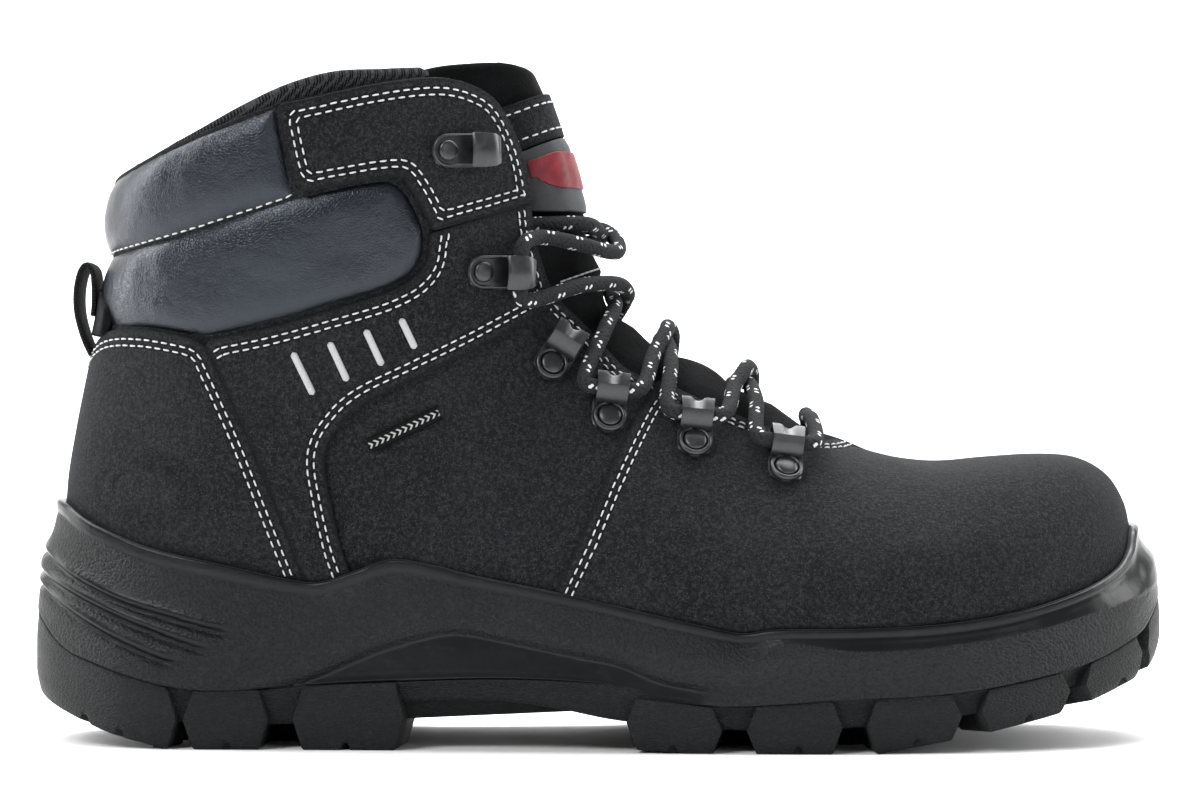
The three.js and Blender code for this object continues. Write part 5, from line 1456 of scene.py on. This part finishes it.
# ---------------------------------------------------------------- strap, tab and bars
def strap(name, line, width, thickness, look, **more):
    """A flat woven strap along a line of the side view, with rounded edges and its weave in uv."""
    spacing = 0.8
    curve = resampled(centripetal(line, 8), spacing)
    way = unit(np.gradient(curve, axis=0))
    out = np.stack([way[:, 1], -way[:, 0]], axis=1)
    turn = np.linspace(0, 2 * math.pi, 28, endpoint=False)
    power = 0.35
    wide = np.sign(np.cos(turn)) * np.abs(np.cos(turn)) ** power * width / 2
    deep = np.sign(np.sin(turn)) * np.abs(np.sin(turn)) ** power * thickness / 2
    points = np.zeros((len(curve), len(turn), 3))
    points[:, :, 0] = curve[:, None, 0] + out[:, None, 0] * deep
    points[:, :, 1] = wide
    points[:, :, 2] = curve[:, None, 1] + out[:, None, 1] * deep
    uv = np.zeros((len(curve), len(turn), 2))
    uv[:, :, 0] = wide + 50
    uv[:, :, 1] = np.arange(len(curve))[:, None] * spacing + 50
    faces = capped_faces(len(curve), len(turn))
    return put(name, points.reshape(-1, 3), faces, look, uv=uv.reshape(-1, 2), **more)


def pull_loop():
    """The webbing loop at the heel, bent at its base."""
    line = [(-142.4, 107.6), (-144.6, 112.6), (-146.5, 120.2), (-146.4, 127), (-145.1, 131.6),
            (-143.7, 133.0), (-142.2, 131.6), (-141.6, 127.6), (-141.5, 122.4), (-141.8, 118.5)]
    piece = strap("heel_pull_loop", line, width=19.6, thickness=1.5, look="webbing", body=None,
                  replaces=["pull_loop"])
    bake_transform(piece)


def draped_patch(corners, side, columns, rows):
    """Points and normals of the upper inside four side-view corners, with a flat pattern."""
    a, b, c, d = (np.array(corner, float) for corner in corners)
    s, t = np.meshgrid(np.linspace(0, 1, columns), np.linspace(0, 1, rows))
    across, down = s[..., None], t[..., None]
    place = (a * (1 - across) + b * across) * (1 - down) + (d * (1 - across) + c * across) * down
    points = np.zeros((rows, columns, 3))
    normals = np.zeros((rows, columns, 3))
    for row, column in np.ndindex(rows, columns):
        points[row, column], normals[row, column] = on_side(*place[row, column], side)
    uv = np.stack([s * np.linalg.norm(b - a), t * np.linalg.norm(d - a)], axis=-1)
    return points, normals, uv


def side_tab():
    """A small woven tab sewn in under the edge of the lateral ankle overlay."""
    points, normals, uv = draped_patch(SIDE_TAB, LATERAL, columns=30, rows=9)
    u, v = uv[..., 0], uv[..., 1]
    edge = np.minimum.reduce([u, u.max() - u, v, v.max() - v])
    top = points + normals * (0.9 + 0.35 * ease(edge, 0, 0.8))[..., None]
    body, faces = slab(top, points + normals * 0.1)
    put("side_tab_woven", body, faces, "woven_tab", "boot", replaces=["side_tab"], slot="webbing",
        uv=np.concatenate([uv.reshape(-1, 2)] * 2) + 0.001)


def reflective_bar(word, side, number, ends):
    """A slim round-ended bar standing a little out of the ankle overlay."""
    half, rows, columns = 0.95, 26, 9
    (x0, z0), (x1, z1) = ends
    length = math.hypot(x1 - x0, z1 - z0)
    along = np.array([x1 - x0, z1 - z0]) / length
    across = np.array([-along[1], along[0]])
    top = np.zeros((rows, columns, 3))
    foot = np.zeros((rows, columns, 3))
    for row, reach in enumerate(np.linspace(-half, length + half, rows)):
        past = max(-reach, reach - length, 0)
        width = math.sqrt(max(half**2 - past**2, 0.01))
        for column, share in enumerate(np.linspace(-1, 1, columns)):
            x, z = np.array([x0, z0]) + along * reach + across * share * width
            point, normal = on_side(x, z, side)
            round_off = math.sqrt(max(1 - (share * width / half) ** 2 - (past / half) ** 2, 0))
            top[row, column] = point + normal * (OVERLAY + 0.15 + 0.5 * round_off)
            foot[row, column] = point + normal * (OVERLAY - 0.6)
    if side == MEDIAL:
        top, foot = top[:, ::-1], foot[:, ::-1]
    body, faces = slab(top[:, ::-1], foot[:, ::-1])
    put(f"bar_{word}_{number}", body, faces, "reflective", "boot",
        replaces=[f"reflective_bar_{word}_{number}"])


# ---------------------------------------------------------------- lace hardware
def hardware_frame(place, towards, side, offset):
    """Axes on the upper: the first points to the throat, the third out of the leather."""
    point, normal = on_side(*place, side)
    forward = np.array([towards[0], 0, towards[1]])
    forward = unit(forward - normal * np.dot(forward, normal))
    return point + normal * offset, np.stack([forward, np.cross(normal, forward), normal])


def arc(x, z, radius, start, end, steps=8):
    """Points along an arc round a centre, between two angles."""
    return [(x + radius * math.cos(a), z + radius * math.sin(a)) for a in np.linspace(start, end, steps + 1)]


def stamping(profile, hole, half_width, slices):
    """A side profile spread to the plate's width at each x: a closed body in the hardware's own axes."""
    rings = [np.array(profile, float)] + ([np.array(hole, float)] if hole else [])
    flat = np.vstack(rings)
    caps = tessellate_polygon([[Vector((x, 0, z)) for x, z in ring] for ring in rings])
    points, faces = [], []
    for share in np.linspace(-1, 1, slices):
        points.append(np.stack([flat[:, 0], share * half_width(flat[:, 0]), flat[:, 1]], axis=1))
    count = len(flat)
    first = 0
    for ring in rings:
        order = [first + i for i in range(len(ring))]
        sides = list(zip(order, order[1:] + order[:1]))
        area = sum(flat[a, 0] * flat[b, 1] - flat[b, 0] * flat[a, 1] for a, b in sides)
        if (area > 0) == (first > 0):
            sides = [(b, a) for a, b in sides[::-1]]
        for near, far in zip(range(slices - 1), range(1, slices)):
            for a, b in sides:
                faces.append([a + far * count, b + far * count, b + near * count, a + near * count])
        first += len(ring)
    faces += [list(cap) for cap in caps] + [[i + (slices - 1) * count for i in cap[::-1]] for cap in caps]
    return np.vstack(points), faces


def lathe(profile, sides=32):
    """A closed body of revolution about z; its (radius, height) profile starts and ends on the axis."""
    turn = 2 * np.pi * np.arange(sides) / sides
    inner = np.array(profile[1:-1], float)
    rings = np.stack([inner[:, None, 0] * np.cos(turn), inner[:, None, 0] * np.sin(turn),
                      inner[:, None, 1] + 0 * turn], axis=-1).reshape(-1, 3)
    points = np.vstack([rings, [(0, 0, profile[0][1]), (0, 0, profile[-1][1])]])
    faces = ring_faces(len(inner), sides)
    last = (len(inner) - 1) * sides
    faces += [[len(rings), (s + 1) % sides, s] for s in range(sides)]
    faces += [[len(rings) + 1, last + s, last + (s + 1) % sides] for s in range(sides)]
    return points, faces


def fitting(name, shape, spot, axes, replaced=(), bevel=0):
    """A piece of lace hardware placed in its frame, its edges rounded if they are sharp."""
    points, faces = shape
    piece = put(name, spot + points @ axes, faces, "gunmetal", "boot", replaces=replaced)
    clean(piece)
    if bevel:
        rounding = piece.modifiers.new("rounding", "BEVEL")
        rounding.width = bevel * MM
        rounding.segments = 3
        rounding.limit_method = "ANGLE"
        rounding.angle_limit = math.radians(32)
        piece.modifiers.new("weighted", "WEIGHTED_NORMAL")


def clean(piece):
    """Welds repeated points and turns all faces outward."""
    work = bmesh.new()
    work.from_mesh(piece.data)
    bmesh.ops.remove_doubles(work, verts=work.verts, dist=1e-6)
    bmesh.ops.recalc_face_normals(work, faces=work.faces)
    work.to_mesh(piece.data)
    work.free()


def loop_shape():
    """A closed loop: its plate, the hood over the lace and the tunnel between, cut away in front."""
    floor = HARDWARE_SHEET
    profile = [
        (-4.9, 0), (-2.4, 0), (0, 0), (4, 0), (8, 0), (11.7, 0), (11.7, HOOD - 0.9), (10.9, ROOF - 0.2),
        (9.6, ROOF), (6.8, ROOF), (5.2, 6.0), (3.9, 4.2), (3.5, 2.6), (3.4, floor + 0.2), (0, floor),
        (-2.4, floor), (-4.9, floor),
    ]
    tunnel = [(4.7, floor + 0.1), (10.5, floor + 0.1), (10.5, HOOD), (6.9, HOOD), (5.4, 4.6), (4.7, 3.4)]
    plan = [(-4.9, 0.9), (-4.4, 2.4), (-3.2, 3.9), (-1.4, 4.75), (0, 4.9), (2, 4.75), (4, 4.35), (7, 4.3),
            (9.5, 4.6), (11.7, 4.6)]
    xs, halves = np.array(plan).T
    points, faces = stamping(profile, tunnel, lambda x: np.interp(x, xs, halves), slices=17)
    notch = np.clip(1 - (np.abs(points[:, 1]) / 1.9) ** 2, 0, 1)
    front = points[:, 0] > 9.4
    points[:, 0] = np.where(front, 9.4 + (points[:, 0] - 9.4) * (1 - 0.55 * notch), points[:, 0])
    lowered = (points[:, 2] > 5.9) & (points[:, 0] > 8.0)
    points[:, 2] -= np.where(lowered, 0.75 * notch, 0)
    return points, faces


def ring_shape():
    """The raised ring round a loop's rivet."""
    return lathe([(0, 0.4), (4.5, 0.4), (4.75, 0.8), (4.7, 1.7), (4.3, 2.15), (3.8, 2.2), (3.45, 1.9),
                  (3.3, 1.25), (0, 1.2)])


def rivet_shape(radius, height):
    """A rivet's domed head."""
    shares = [(0, 0.3), (0.55, 0.3), (0.97, 0.55), (1, 0.75), (0.96, 0.88), (0.8, 0.98), (0.45, 1.04),
              (0, 1.06)]
    return lathe([(radius * r, height * z) for r, z in shares])


def rim_shape():
    """The raised edge of a hook's plate, open towards the bend."""
    half = 4.1
    edge = [(3.0, half)] + arc(-4.7, 0, half, math.pi / 2, 1.5 * math.pi, 14) + [(3.0, -half)]
    line = resampled(np.array([(x, y, HARDWARE_SHEET) for x, y in edge]), 0.45)
    return tube(line, radius=0.5, sides=10)


def hook_shape():
    """An open hook: its plate bent back over itself round the lace, with drooping corners."""
    bend, outer, inner = 6.2, ROOF / 2, SLOT / 2
    floor = HARDWARE_SHEET
    stops = [-9.4, -8, -5, -2, 2]
    profile = (
        [(x, 0) for x in stops]
        + arc(bend, outer, outer, -math.pi / 2, math.pi / 2)
        + [(4, ROOF + 0.2), (2, ROOF + 0.25), (0.9, ROOF + 0.1), (0.3, ROOF - 0.5), (0.4, HOOD)]
        + arc(bend, floor + inner, inner, math.pi / 2, -math.pi / 2)
        + [(x, floor) for x in stops[::-1]]
    )
    plan = [(-9.4, 0.8), (-9.0, 2.2), (-8, 3.5), (-6.6, 4.3), (-5, 4.6), (0, 4.7), (5, 4.7), (7.5, 4.4),
            (9.8, 3.4)]
    xs, halves = np.array(plan).T
    points, faces = stamping(profile, None, lambda x: np.interp(x, xs, halves), slices=17)
    hood = ease(points[:, 2], HOOD - 1, HOOD + 0.3)
    points[:, 2] -= hood * 0.075 * np.abs(points[:, 1]) ** 1.7
    return points, faces


def hardware():
    """Four loops and two hooks on each side, with their rivets, rings and raised rims."""
    seated = 0.9  # how far the plates stand out of the leather
    for word, side in SIDES.items():
        for i, (place, towards) in enumerate(LOOPS, 1):
            spot, axes = hardware_frame(place, towards, side, seated)
            fitting(f"loop_{word}_{i}", loop_shape(), spot, axes, [f"lace_loop_{word}_{i}"], bevel=0.35)
            fitting(f"loop_ring_{word}_{i}", ring_shape(), spot, axes)
            fitting(f"loop_stud_{word}_{i}", rivet_shape(3.15, 2.5), spot, axes, [f"loop_rivet_{word}_{i}"])
        for i, (place, towards) in enumerate(HOOKS, 1):
            spot, axes = hardware_frame(place, towards, side, OVERLAY + seated)
            fitting(f"hook_{word}_{i}", hook_shape(), spot, axes, [f"speed_hook_{word}_{i}"], bevel=0.45)
            fitting(f"hook_rim_{word}_{i}", rim_shape(), spot, axes)
            seat = spot - 4.9 * axes[0]
            fitting(f"hook_stud_{word}_{i}", rivet_shape(2.8, 2.4), seat, axes, [f"hook_rivet_{word}_{i}"])


# ---------------------------------------------------------------- sole
def sole_loop(spacing=1.2):
    """The sole's widest outline, evenly spaced, from the toe over the inner side, with outward directions."""
    half = centripetal(SOLE_PLAN, 12)
    inner = np.stack([half[:, 0], half[:, 2] + half[:, 1]], axis=1)
    outer = np.stack([half[:, 0], half[:, 2] - half[:, 1]], axis=1)[::-1]
    ring = resampled(np.vstack([inner, outer[1:]]), spacing)[:-1]
    way = unit(np.roll(ring, -2, axis=0) - np.roll(ring, 2, axis=0))
    return ring, np.stack([way[:, 1], -way[:, 0]], axis=1)


OUTLINE, OUTWARD = sole_loop()


def closed_stack(rings):
    """A closed body through stacked rings of the same count, the first at the bottom, capped flat."""
    rings = np.asarray(rings)
    levels, count = rings.shape[:2]
    faces = ring_faces(levels, count)
    faces += cap_faces(rings[0], 0, True) + cap_faces(rings[-1], (levels - 1) * count, False)
    return rings.reshape(-1, 3), faces


def cap_faces(ring, first, under):
    """Triangles that close a ring across its plan."""
    triangles = tessellate_polygon([[Vector((x, y, 0)) for x, y, _ in ring]])
    faces = []
    for a, b, c in triangles:
        (ax, ay), (bx, by), (cx, cy) = ring[a, :2], ring[b, :2], ring[c, :2]
        up = (bx - ax) * (cy - ay) - (cx - ax) * (by - ay) > 0
        faces.append([first + i for i in ((a, b, c) if up != under else (a, c, b))])
    return faces


def wall_relief(points, share):
    """How far the midsole's wall stands out or in, in mm, with its polish and groove fields."""
    x, _, z = points.T
    relief = np.zeros(len(points))
    groove = np.zeros(len(points))
    polish = np.zeros(len(points))
    for line in HEEL_RIBS:
        curve = smooth(line)
        gap = z - np.interp(x, curve[:, 0], curve[:, 1])
        fade = 1 - ease(x, curve[-1, 0] - 7, curve[-1, 0])
        cut = np.exp(-((gap / 1.2) ** 2)) * fade
        lift = np.exp(-(((gap - 2.1) / 1.6) ** 2)) * fade
        relief += -1.5 * cut + 0.5 * lift
        groove = np.maximum(groove, cut)
        polish = np.maximum(polish, np.exp(-(((gap - 1.5) / 3) ** 2)) * fade * 0.9)
    arch = smooth(ARCH_LINE)
    gap = z - np.interp(x, arch[:, 0], arch[:, 1])
    waist = ease(x, -104, -80) * (1 - ease(x, 22, 40))
    relief += waist * (-1.5 * (1 - ease(gap, -1.6, 0.8)) + 0.5 * np.exp(-(((gap - 2) / 1.8) ** 2)))
    polish = np.maximum(polish, waist * (1 - ease(gap, -2, 0)))
    toe = smooth(TOE_BAND)
    gap = z - np.interp(x, toe[:, 0], toe[:, 1])
    forefoot = ease(x, 38, 52)
    relief += forefoot * 0.35 * ease(gap, -0.6, 0.6)
    polish = np.maximum(polish, forefoot * ease(gap, -0.8, 0.8))
    polish = np.maximum(polish, 0.6 * ease(x, 143, 150))
    polish = np.maximum(polish, 0.8 * ease(share, 0.86, 0.93))
    relief += -0.35 * np.exp(-(((share - 0.9) / 0.03) ** 2)) * (1 - ease(x, 140, 148))
    ledge = np.exp(-((share / 0.045) ** 2))
    relief += 0.45 * ledge
    return relief, polish, groove


def midsole():
    """The foam midsole: its wall rises from the outsole to a fine lip round the upper."""
    lip = [(-2.0, 0.45), (-1.5, 0.7), (-0.9, 0.6), (-0.2, 0.1), (0.9, -1.6)]
    top_z = feather(OUTLINE[:, 0] - 4 * OUTWARD[:, 0])
    foot_z = welt(OUTLINE[:, 0]) + 0.15
    reach = np.zeros(len(OUTLINE))
    for i, ((x, y), (nx, ny)) in enumerate(zip(OUTLINE, OUTWARD)):
        hit = upper_tree.ray_cast(Vector((x, y, top_z[i])), Vector((-nx, -ny, 0)))[0]
        reach[i] = math.hypot(x - hit.x, y - hit.y) if hit else 8
    covered = 1 - ease(OUTLINE[:, 0], -64, -58)
    reach = np.clip(reach - (OVERLAY + 0.3) * covered, 2.5, 12)
    reach = (np.roll(reach, 1) + reach + np.roll(reach, -1)) / 3
    rings, shares = [], []
    for share in np.concatenate([np.linspace(0, 0.9, 46), np.linspace(0.915, 1, 8)]):
        wall = np.interp(share, [0, 0.08, 0.3, 0.55, 0.86], [0.9, 0.7, 1.2, 2.2, 4.2])
        lean = ease(share, 0.45, 0.97)
        rings.append((wall * (1 - lean) + (reach - 2.3) * lean, foot_z + (top_z - foot_z) * share))
        shares.append(share)
    for inset, lift in lip:
        rings.append((reach + inset, top_z + lift))
        shares.append(1.0)
    count = len(OUTLINE)
    walls = [np.column_stack([OUTLINE - OUTWARD * inset[:, None], z]) for inset, z in rings]
    points = np.vstack(walls)
    relief, polish, groove = wall_relief(points, np.repeat(shares, count))
    relief[-len(lip) * count:] = 0
    # polish 2 marks the lip for its painted highlight
    polish[-(len(lip) - 1) * count:] = 2
    points[:, :2] += np.tile(OUTWARD, (len(rings), 1)) * relief[:, None]
    lid = np.column_stack([OUTLINE - OUTWARD * 17, foot_z + 2])
    points, faces = closed_stack(np.vstack([points, lid]).reshape(-1, count, 3))
    plain = np.zeros(count)
    put("midsole_foam", points, faces, "midsole_foam", "boot", replaces=["midsole"],
        polish=np.concatenate([polish, plain]), groove=np.concatenate([groove, plain]))


def sole_point(place):
    """The outline and its outward direction at fractional places along it, going round past its end."""
    count = len(OUTLINE)
    low = np.floor(place).astype(int)
    share = (place - low)[:, None]
    a, b = low % count, (low + 1) % count
    outward = unit(OUTWARD[a] * (1 - share) + OUTWARD[b] * share)
    return OUTLINE[a] * (1 - share) + OUTLINE[b] * share, outward


def place_of(x, side):
    """The place along the outline that has an x on one side of the boot."""
    spots = np.flatnonzero(side * (OUTLINE[:, 1] - 1) > 0)
    return int(spots[np.argmin(np.abs(OUTLINE[spots, 0] - x))])


def lug(first, last, depth, sipes):
    """A tread block along the outline between two places, from the ground to the welt, widest halfway up."""
    across = max(int((last - first) * 3), 12)
    rings = []
    for share in (0, 0.03, 0.1, 0.2, 0.32, 0.44, 0.5, 0.56, 0.68, 0.8, 0.92, 1):
        wider = 2.2 * (1 - abs(2 * share - 1)) - 0.4 * (share == 0)
        flat, outward = sole_point(np.linspace(first - wider, last + wider, across))
        inset = 1.3 * (1 - ease(share, -0.1, 0.2)) + 0.15 + 0.5 * ease(share, 0.6, 1)
        back = flat - outward * (depth - 0.5 * (share == 0))
        ring = np.vstack([flat - outward * inset, back[::-1]])
        x = ring[:, 0]
        notch = sum((np.exp(-(((x - sipe) / 1.1) ** 4)) for sipe in sipes), 0 * x)
        low = tread(x)
        cut = low + (welt(x) - 0.2 - low) * share
        rings.append(np.column_stack([ring, np.maximum(cut, low + 2.1 * notch)]))
    return closed_stack(rings)


def centre_lug(first, last):
    """A tread block in the middle of the sole."""
    steps, margin = 9, 30
    x = np.concatenate([np.linspace(first, last, steps), np.linspace(last, first, steps)])
    plan_x, plan_half, plan_shift = np.array(SOLE_PLAN[::-1]).T
    half = np.interp(x, plan_x, plan_half) - margin
    shift = np.interp(x, plan_x, plan_shift)
    side = np.repeat([-1, 1], steps)
    middle = np.array([(first + last) / 2, shift.mean()])
    flat = np.stack([x, shift + side * half], axis=1)
    rings = []
    for share, shrink in ((0, 0.93), (0.08, 0.98), (0.2, 1.0), (1, 1.04)):
        ring = middle + (flat - middle) * shrink
        low = tread(ring[:, 0])
        rings.append(np.column_stack([ring, low + (groove_height(ring[:, 0]) + 0.8 - low) * share]))
    return closed_stack(rings)


def outsole():
    """The rubber outsole: a slab under the midsole with its tread blocks."""
    top, floor = welt(OUTLINE[:, 0]), groove_height(OUTLINE[:, 0])
    wall = [(0, 5.0), (0.06, 4.2), (0.2, 3.8), (0.45, 3.4), (0.7, 2.8), (0.84, 2.2), (0.94, 1.7), (1, 1.6)]
    rings = []
    for share, inset in wall:
        flat = OUTLINE - OUTWARD * inset
        rings.append(np.column_stack([flat, floor + (top - 0.1 - floor) * share]))
    parts = [closed_stack(rings)]
    for (back, front), sipes in SIDE_LUGS:
        parts.append(lug(place_of(front, MEDIAL), place_of(back, MEDIAL), depth=24, sipes=sipes))
        parts.append(lug(place_of(back, LATERAL), place_of(front, LATERAL), depth=24, sipes=sipes))
    heel, sipes = HEEL_LUG
    parts.append(lug(place_of(heel, MEDIAL), place_of(heel, LATERAL), depth=16, sipes=sipes))
    toe, sipes = TOE_LUG
    toe_end = place_of(toe, MEDIAL) + len(OUTLINE)
    parts.append(lug(place_of(toe, LATERAL), toe_end, depth=12, sipes=sipes))
    parts += [centre_lug(*span) for span in CENTRE_LUGS]
    points, faces = joined(parts)
    plain = np.zeros(len(points))
    put("outsole_rubber", points, faces, "rubber", "boot", replaces=["outsole"], polish=plain, groove=plain)


def joined(parts):
    """Several bodies as one list of points and faces."""
    points, faces, first = [], [], 0
    for some, their in parts:
        points.append(some)
        faces += [[corner + first for corner in face] for face in their]
        first += len(some)
    return np.vstack(points), faces


# ---------------------------------------------------------------- everything together
camera()
studio()
lace()
vamp()
heel_counter()
backstay()
for word, side in SIDES.items():
    quarter(word, side)
    ankle_overlay(word, side)
    lace_flap(word, side)
    for number, ends in enumerate(BARS, 1):
        reflective_bar(word, side, number, ends)
side_tab()
collar()
lining()
footbed()
tongue_trim(tongue())
pull_loop()
hardware()
midsole()
outsole()

INNER_PARTS = {"toe_cap": "steel", "shank": "steel", "insole_board": "board", "heel_stiffener": "board"}
for name, look in INNER_PARTS.items():
    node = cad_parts[name]
    node.data.materials.clear()
    node.data.materials.append(MATERIALS[look])
